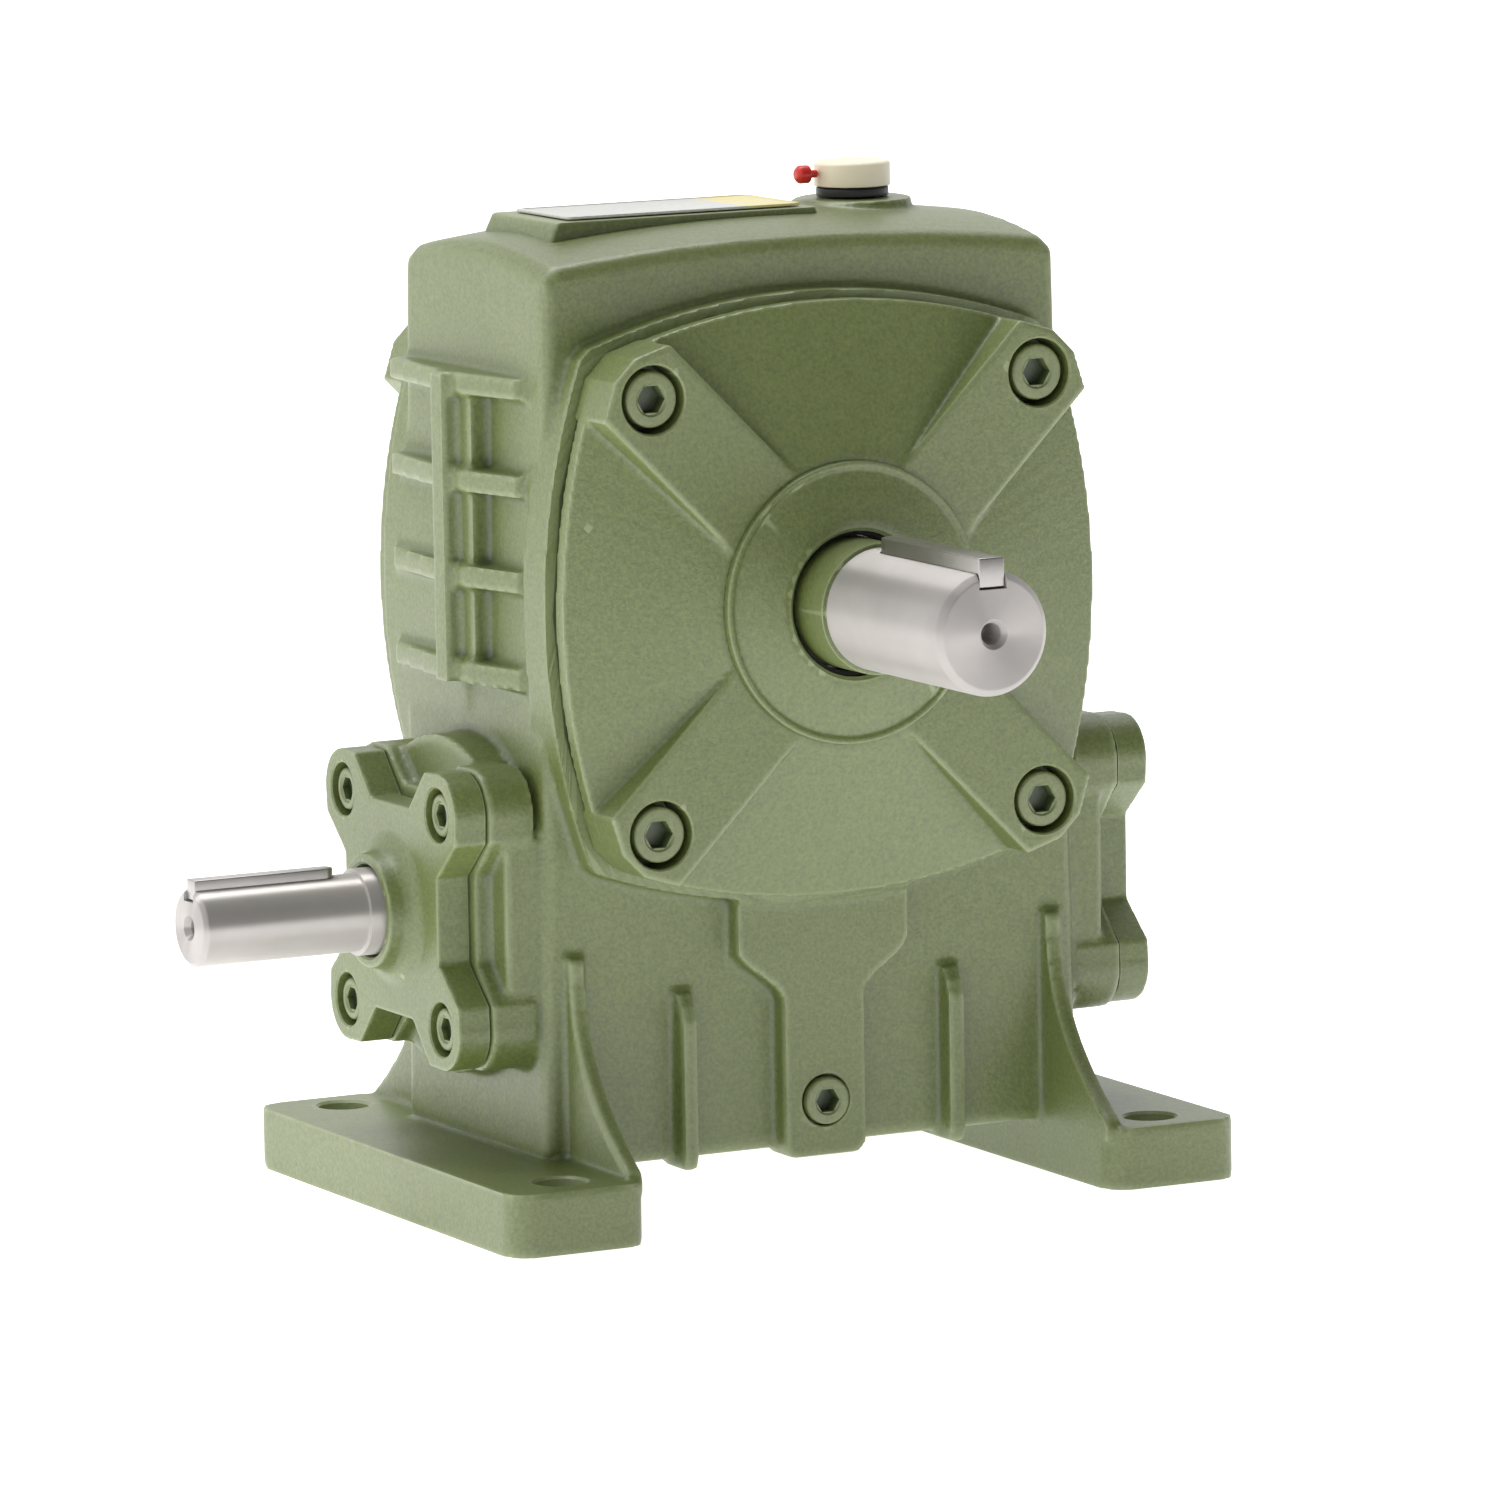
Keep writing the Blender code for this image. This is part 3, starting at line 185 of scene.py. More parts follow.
def turned(name, axis, centre, profile, segments=96, closed=False):
    """A solid of revolution from (distance along the axis, radius) pairs."""
    turns = [2 * pi * i / segments for i in range(segments)]
    rings = []
    for along, radius in profile:
        across = [(centre[0] + radius * cos(t), centre[1] + radius * sin(t)) for t in turns]
        rings.append([place(axis, along, a, b) for a, b in across])
    return layers(name, rings, closed)


def rod(name, axis, centre, radius, low, high, segments=64):
    return turned(name, axis, centre, [(low, radius), (high, radius)], segments)


def facing(side, profile):
    """A profile drawn for the positive side, mirrored for side -1."""
    return [(side * along, radius) for along, radius in profile]


def evaluated(thing):
    """The mesh of an object with its modifiers applied."""
    depsgraph = bpy.context.evaluated_depsgraph_get()
    return bpy.data.meshes.new_from_object(thing.evaluated_get(depsgraph))


def apply_modifiers(thing):
    old = thing.data
    thing.data = evaluated(thing)
    thing.modifiers.clear()
    bpy.data.meshes.remove(old)
    return thing


def bevel(thing, width, segments=3):
    step = thing.modifiers.new("edge", "BEVEL")
    step.width = width * MM
    step.segments = segments
    step.limit_method = "ANGLE"
    step.angle_limit = radians(40)
    step.use_clamp_overlap = True
    return apply_modifiers(thing)


def cut(thing, tools):
    """Machines a piece with each tool in turn, and removes the tools."""
    for tool in tools:
        step = thing.modifiers.new("cut", "BOOLEAN")
        step.operation = "DIFFERENCE"
        step.solver = "MANIFOLD"
        step.object = tool
    apply_modifiers(thing)
    for tool in tools:
        bpy.data.objects.remove(tool)
    return thing


def join(thing, tool):
    step = thing.modifiers.new("join", "BOOLEAN")
    step.operation = "UNION"
    step.solver = "MANIFOLD"
    step.object = tool
    apply_modifiers(thing)
    bpy.data.objects.remove(tool)


def casting(name, shapes, voxel):
    """Melts overlapping shapes into one skin whose edges and inner corners are rounded."""
    builder = bmesh.new()
    for shape in shapes:
        builder.from_mesh(shape.data)
        bpy.data.objects.remove(shape)
    mesh = bpy.data.meshes.new(name)
    builder.to_mesh(mesh)
    builder.free()
    body = new_object(name, mesh)
    melt = body.modifiers.new("melt", "REMESH")
    melt.mode = "VOXEL"
    melt.voxel_size = voxel * MM
    soften = body.modifiers.new("soften", "SMOOTH")
    soften.factor = 0.5
    soften.iterations = SMOOTH_ROUNDS
    apply_modifiers(body)
    triangles = 2 * len(body.data.polygons)
    if triangles > MOST_TRIANGLES:
        thin = body.modifiers.new("thin", "DECIMATE")
        thin.ratio = MOST_TRIANGLES / triangles
        apply_modifiers(body)
    return body


def smooth(thing, angle=35):
    thing.data.shade_smooth()
    thing.data.set_sharp_from_angle(angle=radians(angle))
    return thing


def arc(centre, radius, start, end, steps):
    angles = [radians(start + (end - start) * i / steps) for i in range(steps + 1)]
    return [(centre[0] + radius * cos(t), centre[1] + radius * sin(t)) for t in angles]


def rounded_rectangle(low, high, radius, steps=6):
    corners = [
        ((high[0] - radius, high[1] - radius), 0),
        ((low[0] + radius, high[1] - radius), 90),
        ((low[0] + radius, low[1] + radius), 180),
        ((high[0] - radius, low[1] + radius), 270),
    ]
    outline = []
    for centre, start in corners:
        outline += arc(centre, radius, start, start + 90, steps)
    return outline


def bulged_square(half, corner, side_share, steps=20):
    """A square with bulged sides about the wheel axis; straight cuts join its sides."""
    sag = half - corner
    radius = (corner**2 + sag**2) / (2 * sag)
    spread = degrees(asin(corner / radius)) * side_share
    outline = []
    for quarter in range(4):
        side = arc((half - radius, 0), radius, -spread, spread, steps)
        turn = Matrix.Rotation(quarter * pi / 2, 2)
        outline += [tuple(turn @ Vector(point)) for point in side]
    return [(x, z + WHEEL_Z) for x, z in outline]


def lobed_outline(notch_depth, lobe_radius, steps=16):
    """Four bolt lobes about the worm axis, with a flat-bottomed notch between each two."""
    notch_half = 10.0
    lobe_side = LOBE_Y - 6.4
    quadrant = [(notch_depth, notch_half), (LOBE_Y + lobe_radius - 0.3, lobe_side)]
    quadrant += arc((LOBE_Y, LOBE_Z), lobe_radius, -10, 100, steps)
    quadrant += [(lobe_side, LOBE_Z + lobe_radius - 0.3), (notch_half, notch_depth)]
    upper = quadrant + [(-y, z) for y, z in reversed(quadrant)]
    outline = upper + [(y, -z) for y, z in reversed(upper)]
    return [(y, z + WORM_Z) for y, z in outline]


def screw_places(centre, half_first, half_second):
    signs = ((-1, 1), (1, 1), (-1, -1), (1, -1))
    return [(centre[0] + a * half_first, centre[1] + b * half_second) for a, b in signs]


# Materials --------------------------------------------------------------------------------


class Nodes:
    """A short way to build one material's node tree."""

    def __init__(self, name):
        self.material = bpy.data.materials.new(name)
        self.material.use_nodes = True
        self.tree = self.material.node_tree
        self.shader = self.tree.nodes["Principled BSDF"]
        self.point = self.add("ShaderNodeTexCoord").outputs["Object"]

    def add(self, kind, **values):
        node = self.tree.nodes.new(kind)
        for key, value in values.items():
            setattr(node, key, value)
        return node

    def link(self, source, target):
        self.tree.links.new(source, target)

    def radius_point(self, axis):
        """The distance from a shaft's axis as a texture place, for rings on its end face."""
        split = self.add("ShaderNodeSeparateXYZ")
        self.link(self.point, split.inputs["Vector"])
        first, second = ("Y", "Z") if axis == "X" else ("X", "Z")
        centre = Vector(place(axis, 0.0, 0.0, WORM_Z if axis == "X" else WHEEL_Z)) * MM + ORIGIN
        away = self.add("ShaderNodeCombineXYZ")
        for socket, name in enumerate((first, second)):
            node = self.add("ShaderNodeMath", operation="SUBTRACT")
            self.link(split.outputs[name], node.inputs[0])
            node.inputs[1].default_value = centre["XYZ".index(name)]
            self.link(node.outputs["Value"], away.inputs[socket])
        length = self.add("ShaderNodeVectorMath", operation="LENGTH")
        self.link(away.outputs["Vector"], length.inputs[0])
        return self.scaled(length.outputs["Value"], 1800.0)

    def noise(self, scale, detail=4.0, roughness=0.5, stretch=None, point=None):
        point = point or self.point
        if stretch:
            mapping = self.add("ShaderNodeMapping")
            mapping.inputs["Scale"].default_value = stretch
            self.link(point, mapping.inputs["Vector"])
            point = mapping.outputs["Vector"]
        node = self.add("ShaderNodeTexNoise")
        node.inputs["Scale"].default_value = scale
        node.inputs["Detail"].default_value = detail
        node.inputs["Roughness"].default_value = roughness
        self.link(point, node.inputs["Vector"])
        return node.outputs["Fac"]

    def ramp(self, value, low, high, start=0.35, end=0.65):
        node = self.add("ShaderNodeValToRGB")
        node.color_ramp.elements[0].position = start
        node.color_ramp.elements[1].position = end
        node.color_ramp.elements[0].color = low
        node.color_ramp.elements[1].color = high
        self.link(value, node.inputs["Fac"])
        return node.outputs["Color"]

    def mix(self, factor, low, high, blend="MIX"):
        node = self.add("ShaderNodeMixRGB", blend_type=blend)
        self.feed(node.inputs["Fac"], factor)
        self.feed(node.inputs["Color1"], low)
        self.feed(node.inputs["Color2"], high)
        return node.outputs["Color"]

    def scaled(self, value, factor):
        node = self.add("ShaderNodeMath", operation="MULTIPLY")
        self.link(value, node.inputs[0])
        node.inputs[1].default_value = factor
        return node.outputs["Value"]

    def feed(self, socket, value):
        if isinstance(value, bpy.types.NodeSocket):
            self.link(value, socket)
        else:
            socket.default_value = value

    def span(self, value, low, high, start=0.0, end=1.0):
        node = self.add("ShaderNodeMapRange")
        node.inputs["From Min"].default_value = start
        node.inputs["From Max"].default_value = end
        node.inputs["To Min"].default_value = low
        node.inputs["To Max"].default_value = high
        self.link(value, node.inputs["Value"])
        return node.outputs["Result"]

    def bump(self, height, strength, distance, under=None):
        node = self.add("ShaderNodeBump")
        node.inputs["Strength"].default_value = strength
        node.inputs["Distance"].default_value = distance
        self.link(height, node.inputs["Height"])
        if under:
            self.link(under, node.inputs["Normal"])
        return node.outputs["Normal"]

    def finish(self, colour, roughness, normal=None, metallic=0.0, **constants):
        """Fills the shader; constants are sockets that are the same all over the surface."""
        self.feed(self.shader.inputs["Base Color"], colour)
        self.feed(self.shader.inputs["Roughness"], roughness)
        self.shader.inputs["Metallic"].default_value = metallic
        if normal:
            self.link(normal, self.shader.inputs["Normal"])
        for name, value in constants.items():
            self.shader.inputs[name.replace("_", " ")].default_value = value
        return self.material


def grey(value):
    return (value, value, value, 1.0)


# Painted highlight: the pale green that convex edges of the paint are lightened towards.
PAINTED_EDGE_HIGHLIGHT = (0.30, 0.35, 0.18, 1.0)
# Painted shade: the near black that creases and inner corners of the paint are darkened towards.
PAINTED_CREASE_SHADE = (0.020, 0.042, 0.010, 1.0)


def paint(name, low, high, grain=1.0, highlight_share=0.7):
    """Semi-gloss enamel over a sand casting: fine grain, slow colour drift, painted highlights on convex
    edges, painted shade in creases.
    """
    m = Nodes(name)
    base = m.ramp(m.noise(12.0, 3.0), low, high, 0.3, 0.7)
    speck = m.noise(1100.0, 3.0, 0.65)
    base = m.mix(1.0, base, m.ramp(speck, grey(0.76), grey(1.24), 0.32, 0.68), "MULTIPLY")
    pointiness = m.add("ShaderNodeNewGeometry").outputs["Pointiness"]
    # Painted highlight: convex edges, found by pointiness, are lightened towards a pale green.
    edge = m.scaled(m.span(pointiness, 0.0, 1.0, 0.51, 0.56), highlight_share)
    base = m.mix(edge, base, PAINTED_EDGE_HIGHLIGHT)
    # Painted shade: creases and inner corners, found by pointiness, are darkened towards near black.
    crease = m.scaled(m.span(pointiness, 1.0, 0.0, 0.43, 0.49), 0.85)
    base = m.mix(crease, base, PAINTED_CREASE_SHADE)
    roughness = m.span(m.noise(420.0, 3.0), 0.40, 0.54)
    lumps = m.bump(m.noise(140.0, 2.0), 0.30 * grain, 0.0005)
    normal = m.bump(speck, 0.40 * grain, 0.0003, lumps)
    return m.finish(base, roughness, normal, Coat_Weight=0.25, Coat_Roughness=0.3, Specular_IOR_Level=1.0)


def turned_steel(name, axis, tint=(0.50, 0.475, 0.455, 1.0)):
    """Ground steel with fine tool marks round its axis and rings on its end faces."""
    m = Nodes(name)
    along = {"X": (2200.0, 8.0, 8.0), "Y": (8.0, 2200.0, 8.0)}[axis]
    marks = m.noise(1.0, 2.0, 0.6, stretch=along)
    rings = m.noise(1.0, 2.0, 0.5, point=m.radius_point(axis))
    stain = m.noise(60.0, 4.0)
    base = m.ramp(stain, tint, tuple(min(1.0, c * 1.12) for c in tint[:3]) + (1.0,), 0.3, 0.7)
    roughness = m.span(m.noise(300.0, 3.0), 0.44, 0.54)
    normal = m.bump(rings, 0.10, 0.00005, m.bump(marks, 0.16, 0.00006))
    tangent = m.add("ShaderNodeTangent", direction_type="RADIAL", axis=axis)
    m.link(tangent.outputs["Tangent"], m.shader.inputs["Tangent"])
    along_axis = {"Anisotropic": 0.95, "Anisotropic_Rotation": 0.25}
    return m.finish(base, roughness, normal, metallic=0.8, **along_axis)


def metal(name, low, high, roughness, metallic=1.0):
    """Bare metal with a fine even grain and slow stains."""
    m = Nodes(name)
    grain = m.noise(400.0, 4.0, 0.6)
    base = m.ramp(m.noise(400.0 / 12, 3.0), low, high, 0.3, 0.7)
    spread = m.span(grain, roughness * 0.8, min(1.0, roughness * 1.25))
    return m.finish(base, spread, m.bump(grain, 0.15, 0.0001), metallic=metallic)


def printed_plate(name, yellow_from):
    """A pale lacquered plate with a blank yellow panel at its right end."""
    m = Nodes(name)
    split = m.add("ShaderNodeSeparateXYZ")
    m.link(m.point, split.inputs["Vector"])
    border = ORIGIN.x + yellow_from * MM
    yellow = m.span(split.outputs["X"], 0.0, 1.0, border - 0.0001, border + 0.0001)
    grain = m.noise(800.0, 3.0)
    pale = m.ramp(grain, (0.58, 0.58, 0.54, 1.0), (0.66, 0.66, 0.62, 1.0))
    base = m.mix(yellow, pale, (0.74, 0.66, 0.30, 1.0))
    return m.finish(base, m.span(grain, 0.30, 0.38), m.bump(grain, 0.06, 0.0001), metallic=0.3)


def moulded(name, low, high, roughness):
    """Plastic, rubber or paper: a fine even grain with a little drift in its colour."""
    m = Nodes(name)
    grain = m.noise(900.0, 3.0, 0.6)
    base = m.ramp(m.noise(90.0, 3.0), low, high, 0.3, 0.7)
    spread = m.span(grain, roughness * 0.85, min(1.0, roughness * 1.15))
    return m.finish(base, spread, m.bump(grain, 0.12, 0.0001))


GREEN = paint("painted_casting", (0.116, 0.150, 0.034, 1.0), (0.136, 0.172, 0.044, 1.0))
COVER_GREEN = paint("painted_cover", (0.118, 0.154, 0.034, 1.0), (0.140, 0.178, 0.046, 1.0))
SCREW_GREEN = paint("painted_screw", (0.112, 0.143, 0.036, 1.0), (0.136, 0.170, 0.048, 1.0), 0.3, 0.2)
OUTPUT_STEEL = turned_steel("output_steel", "Y")
INPUT_STEEL = turned_steel("input_steel", "X")
KEY_STEEL = metal("key_steel", (0.36, 0.345, 0.335, 1.0), (0.50, 0.48, 0.46, 1.0), 0.34)
BEARING_STEEL = metal("bearing_steel", (0.50, 0.51, 0.53, 1.0), (0.60, 0.61, 0.62, 1.0), 0.22)
BRONZE = metal("bronze", (0.52, 0.30, 0.11, 1.0), (0.66, 0.40, 0.16, 1.0), 0.34)
HUB_IRON = metal("hub_iron", (0.13, 0.13, 0.135, 1.0), (0.20, 0.20, 0.205, 1.0), 0.55, 0.8)
PLATE = printed_plate("plate", -2.0)
RUBBER = moulded("seal_rubber", (0.012, 0.012, 0.012, 1.0), (0.026, 0.026, 0.026, 1.0), 0.55)
PAPER = moulded("gasket_paper", (0.050, 0.070, 0.028, 1.0), (0.080, 0.100, 0.042, 1.0), 0.85)
BLACK = moulded("black_plastic", (0.008, 0.008, 0.008, 1.0), (0.018, 0.018, 0.018, 1.0), 0.42)
CREAM = moulded("cream_plastic", (0.86, 0.78, 0.58, 1.0), (0.93, 0.86, 0.68, 1.0), 0.35)
RED = moulded("red_plastic", (0.55, 0.012, 0.010, 1.0), (0.68, 0.030, 0.022, 1.0), 0.32)

FINISHES = {
    "housing_paint": GREEN,
    "cover_paint": COVER_GREEN,
    "screw_paint": SCREW_GREEN,
    "gasket": PAPER,
    "bearing_steel": BEARING_STEEL,
    "seal_rubber": RUBBER,
    "bare_steel": OUTPUT_STEEL,
    "bronze": BRONZE,
    "hub_iron": HUB_IRON,
    "black_plastic": BLACK,
    "cream_plastic": CREAM,
    "red_plastic": RED,
    "plate": PLATE,
}
BODY_OF = {
    node: body for body, nodes in frame["record"]["behaviour"]["bodies"].items() for node in nodes
}


def stand_for(piece, node, slot, look=None):
    """The piece takes a CAD node's place: its body, its slot and that slot's finish."""
    piece.name = f"{node}_look"
    piece.data.materials.clear()
    piece.data.materials.append(look or FINISHES[slot])
    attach(piece, BODY_OF[node])
    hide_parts(node)
    return piece


# Screws and plugs -------------------------------------------------------------------------


def softened(profile, radius, steps=4):
    """A profile whose inner corners become short curves."""
    made = [profile[0]]
    for before, corner, after in zip(profile, profile[1:], profile[2:]):
        corner = Vector(corner)
        ends = []
        for other in (Vector(before), Vector(after)):
            reach = min(radius, (other - corner).length * 0.45)
            ends.append(corner + (other - corner).normalized() * reach)
        for i in range(steps + 1):
            t = i / steps
            spot = ends[0] * (1 - t) ** 2 + corner * 2 * t * (1 - t) + ends[1] * t**2
            made.append(tuple(spot))
    return made + [profile[-1]]


def hexagon(name, axis, centre, radius, low, high):
    return rod(name, axis, centre, radius, low, high, segments=6)


def socket_screw(name, axis, centre, face, side, size, length):
    """Head with a rounded edge, a hex socket with a countersunk mouth, and a plain shank."""
    head, height, socket, shank = size
    under = face - height
    tip = under - length
    profile = [(tip, 0.4), (tip, shank), (under, shank), (under, head), (face, head), (face, 0.4)]
    profile = softened(profile, 0.8)
    piece = turned(name, axis, centre, facing(side, profile), 48)
    mouth = [(face + 1, socket + 0.45 + 1), (face - 0.45, socket)]
    ends = sorted((side * (face + 1), side * (face - height / 2)))
    tools = [hexagon("socket", axis, centre, socket, *ends)]
    tools.append(turned("mouth", axis, centre, facing(side, mouth), 48))
    return smooth(cut(piece, tools))


def well(axis, centre, face, side, size, radius):
    """The counterbore of a screw with its through hole, as one cutter."""
    head, height, socket, shank = size
    floor = face - height - SCREW_SINK - 0.3
    hole = shank + 0.3
    profile = [(floor - 25, hole), (floor, hole), (floor, radius)]
    profile += [(face - 0.4, radius), (face + 2, radius + 2.4)]
    return turned("well", axis, centre, facing(side, profile), 64)


def plug(node, z, side):
    face = PANEL_FACE_Y + 1.2
    seat = PANEL_FACE_Y - 3
    profile = [(32.0, 0.4), (32.0, 3.8), (seat, 3.8), (seat, PLUG_RADIUS), (face, PLUG_RADIUS), (face, 0.4)]
    piece = turned(node, "Y", (0, z), facing(side, softened(profile, 0.7)), 48)
    ends = sorted((side * (face + 1), side * (face - 4)))
    mouth = facing(side, [(face + 1, 4.4), (face - 0.4, 3.0)])
    tools = [hexagon("socket", "Y", (0, z), 3.0, *ends), turned("mouth", "Y", (0, z), mouth, 48)]
    stand_for(smooth(cut(piece, tools)), node, "screw_paint")


# Housing ----------------------------------------------------------------------------------


def body_outline(lift, inset):
    """Front outline of the body, its arched top raised by lift, all of it drawn in by inset."""
    crown_rise = BODY_CROWN_Z - BODY_TOP_Z
    crown_radius = (BODY_HALF_X_TOP**2 + crown_rise**2) / (2 * crown_rise)
    edge = 3.0
    spread = degrees(asin((BODY_HALF_X_TOP - edge) / crown_radius))
    centre = (0, BODY_CROWN_Z - crown_radius + lift)
    crown = arc(centre, crown_radius - inset, 90 - spread, 90 + spread, 24)
    base, top = BODY_HALF_X_LOW - inset, BODY_HALF_X_TOP - inset
    right = [(base - 4, BODY_BOTTOM_Z + inset), (base, BODY_BOTTOM_Z + 4 + inset)]
    shoulder = crown[0][1] - edge
    slope = (base - top) / (BODY_TOP_Z - BODY_BOTTOM_Z)
    right += [(top + slope * (BODY_TOP_Z - shoulder), shoulder)]
    left = [(-x, z) for x, z in reversed(right)]
    return right + crown + left


def body():
    """The tall box with rounded front and rear edges and a top that bulges both ways."""
    rows = []
    for i in range(5):
        angle = radians(90 * i / 4)
        y = BODY_HALF_Y - BODY_EDGE + BODY_EDGE * cos(angle)
        rows.append((y, BODY_EDGE * (1 - sin(angle))))
    rows += [(rows[-1][0] * i / 6, 0.0) for i in range(5, 0, -1)]
    stations = [(-y, inset) for y, inset in rows] + [(0.0, 0.0)]
    stations += [(y, inset) for y, inset in reversed(rows)]
    rings = []
    for y, inset in stations:
        outline = body_outline(TOP_LIFT * (1 - (y / BODY_HALF_Y) ** 2), inset)
        rings.append([(x, y, z) for x, z in outline])
    return layers("body", rings)


def gusset(x, side):
    """A curved web from the body wall down on to the foot, a little thicker at its root."""
    start_y, start_z = BODY_HALF_Y + 2.6, 60.5
    toe_y, toe_z = 66.5, 16.0
    curve = []
    for i in range(17):
        t = i / 16
        curve.append((start_y + (toe_y - start_y) * t**1.9, start_z - (start_z - toe_z) * t**0.8))
    buried = BODY_HALF_Y - 6
    outline = curve + [(toe_y, FOOT_HEIGHT - 3), (buried, FOOT_HEIGHT - 3), (buried, start_z + 4)]
    return prism("gusset", "X", [(side * y, z) for y, z in outline], x - 2.1, x + 2.1)


def small_rib(x, side):
    near = BODY_HALF_Y - 6
    outline = [(near, 10.0), (40.6, 10.0), (41.6, 13.0), (41.6, 44.0)]
    outline += [(40.8, 47.5), (38.5, 50.6), (near, 53.0)]
    return prism("rib", "X", [(side * y, z) for y, z in outline], x - 2.0, x + 2.0)


def panel(side):
    """The raised panel round the plug, flaring up to the bearing pad."""
    narrow, wide = 10.5, 22.0
    low_z, flare_height = 47.0, 13.0
    flare = []
    for i in range(17):
        widening = (1 - cos(pi * i / 16)) / 2
        flare.append((narrow + (wide - narrow) * widening, low_z + flare_height * i / 16))
    right = [(narrow - 2, 10.2), (narrow, 12.5)] + flare + [(wide, 76.0)]
    outline = right + [(-x, z) for x, z in reversed(right)]
    return prism("panel", "Y", outline, *sorted((side * (BODY_HALF_Y - 6), side * PANEL_FACE_Y)))


def block(low, high):
    corners = [(low[0], low[1]), (high[0], low[1]), (high[0], high[1]), (low[0], high[1])]
    return prism("block", "Z", corners, low[2], high[2])


def wall_ribs(side):
    """The upright spine and the four level ribs on the short wall above the worm."""
    wall = WALL_X
    low_z, high_z = SPINE_Z
    near, far = sorted((side * (wall - 4), side * (wall + 9.5)))
    pieces = [block((near, -3.2, low_z), (far, 3.2, high_z))]
    near, far = sorted((side * (wall - 4), side * (wall + 5.5)))
    pieces.append(block((near, -9.0, low_z), (far, 2.0, high_z)))
    for z in WALL_RIB_HEIGHTS:
        root, crest = side * (wall - 4), side * (wall + 7.5)
        shoulder = side * (wall + 3.2)
        outline = [(root, -31.0), (side * wall, -30.0), (shoulder, -27.0), (crest, -8.0)]
        outline += [(crest, 8.0), (side * (wall + 5.0), 34.0), (root, 36.0)]
        pieces.append(prism("wall_rib", "Z", outline, z - 2.5, z + 2.5))
    return pieces


def worm_pads(side):
    """The clipped round pad and the lobed lug that carry a worm cover."""
    clip = 34.5
    angle = degrees(acos(clip / WORM_PAD_RADIUS))
    upper = arc((0, WORM_Z), WORM_PAD_RADIUS, angle, 180 - angle, 32)
    lower = arc((0, WORM_Z), WORM_PAD_RADIUS, 180 + angle, 360 - angle, 32)
    pad = prism("pad", "X", upper + lower, *sorted((side * 55.0, side * WORM_PAD_X)))
    lug_outline = lobed_outline(LUG_NOTCH, LOBE_RADIUS + 0.8)
    lug = prism("lug", "X", lug_outline, *sorted((side * 70.0, side * WORM_LUG_X)))
    return [pad, lug]


def wedge():
    """The level seat of the nameplate: upright front and rear walls, a sloped left end."""
    low, high = WEDGE_X
    rings = []
    for z, grow in ((216.0, 3.0), (WEDGE_TOP_Z - 0.4, 0.3), (WEDGE_TOP_Z, 0.0)):
        half = WEDGE_HALF_Y + 0.3 * grow
        outline = rounded_rectangle((low - 1.6 * grow, -half), (high + grow, half), 1.2)
        rings.append([(x, y, z) for x, y in outline])
    return layers("wedge", rings)


def foot(side):
    outline = rounded_rectangle((FOOT_INNER_X, -FOOT_HALF_Y), (FOOT_OUTER_X, FOOT_HALF_Y), 6.0)
    return prism("foot", "Z", [(side * x, y) for x, y in outline], 0.0, FOOT_HEIGHT)


def housing():
    boss_profile = [(208.0, BREATHER_BOSS_RADIUS + 1.8), (BREATHER_BOSS_Z, BREATHER_BOSS_RADIUS)]
    shapes = [body(), turned("boss", "Z", (BREATHER_X, 0), boss_profile)]
    for side in (-1, 1):
        pad_start = -(BODY_HALF_Y - 6) if side < 0 else REAR_SWELL_Y
        pad_ends = sorted((pad_start, side * (PAD_FACE_Y + 0.6)))
        shapes.append(prism("pad", "Y", bulged_square(PAD_HALF, PAD_CORNER, 0.97), *pad_ends))
        shapes += [foot(side), panel(side), *wall_ribs(side), *worm_pads(side)]
        shapes += [gusset(x, side) for x in (-GUSSET_X, GUSSET_X)]
        shapes += [small_rib(x, side) for x in (-SMALL_RIB_X, SMALL_RIB_X)]
    casting_body = casting("housing", shapes, HOUSING_VOXEL)
    join(casting_body, wedge())
    cut(casting_body, housing_cuts())
    stand_for(smooth(casting_body, 40), "housing", "housing_paint")


def housing_cuts():
    """Bores, sump, tapped holes, plug seats and the flat machined faces."""
    wheel, worm = (0.0, WHEEL_Z), (0.0, WORM_Z)
    reach = PAD_FACE_Y + 5
    tools = [rod("wheel_bore", "Y", wheel, WHEEL_BORE_RADIUS, -reach, reach, 128)]
    tools.append(rod("worm_bore", "X", worm, WORM_BORE_RADIUS, -WORM_LUG_X - 5, WORM_LUG_X + 5, 96))
    tools.append(block(*SUMP))
    tools.append(rod("vent", "Z", (BREATHER_X, 0), VENT_RADIUS, 190.0, BREATHER_BOSS_Z + 2, 32))
    for x in (-FOOT_HOLE_X, FOOT_HOLE_X):
        for y in (-FOOT_HOLE_Y, FOOT_HOLE_Y):
            profile = [(-2.0, FOOT_HOLE_RADIUS), (FOOT_HEIGHT - 0.6, FOOT_HOLE_RADIUS)]
            profile.append((FOOT_HEIGHT + 1.4, FOOT_HOLE_RADIUS + 2))
            tools.append(turned("foot_hole", "Z", (x, y), profile, 64))
    for side in (-1, 1):
        for spot in screw_places(wheel, COVER_BOLT, COVER_BOLT):
            tools.append(rod("tap", "Y", spot, 4.2, *sorted((side * 24.0, side * (PAD_FACE_Y + 3))), 24))
        for spot in screw_places(worm, LOBE_Y, LOBE_Z):
            tools.append(rod("tap", "X", spot, 3.1, *sorted((side * 68.0, side * (WORM_LUG_X + 3))), 24))
        plug_z = DRAIN_Z if side < 0 else LEVEL_Z
        seat = PLUG_RADIUS + 0.5
        profile = [(24.0, 4.2), (PANEL_FACE_Y - 3.3, 4.2), (PANEL_FACE_Y - 3.3, seat)]
        profile += [(PANEL_FACE_Y - 0.3, seat), (PANEL_FACE_Y + 3, seat + 3.3)]
        tools.append(turned("plug_seat", "Y", (0.0, plug_z), facing(side, profile), 64))
        low, high = sorted((side * PAD_FACE_Y, side * 60.0))
        tools.append(block((-80.0, low, 66.0), (80.0, high, 214.0)))
    return tools


# Covers -----------------------------------------------------------------------------------


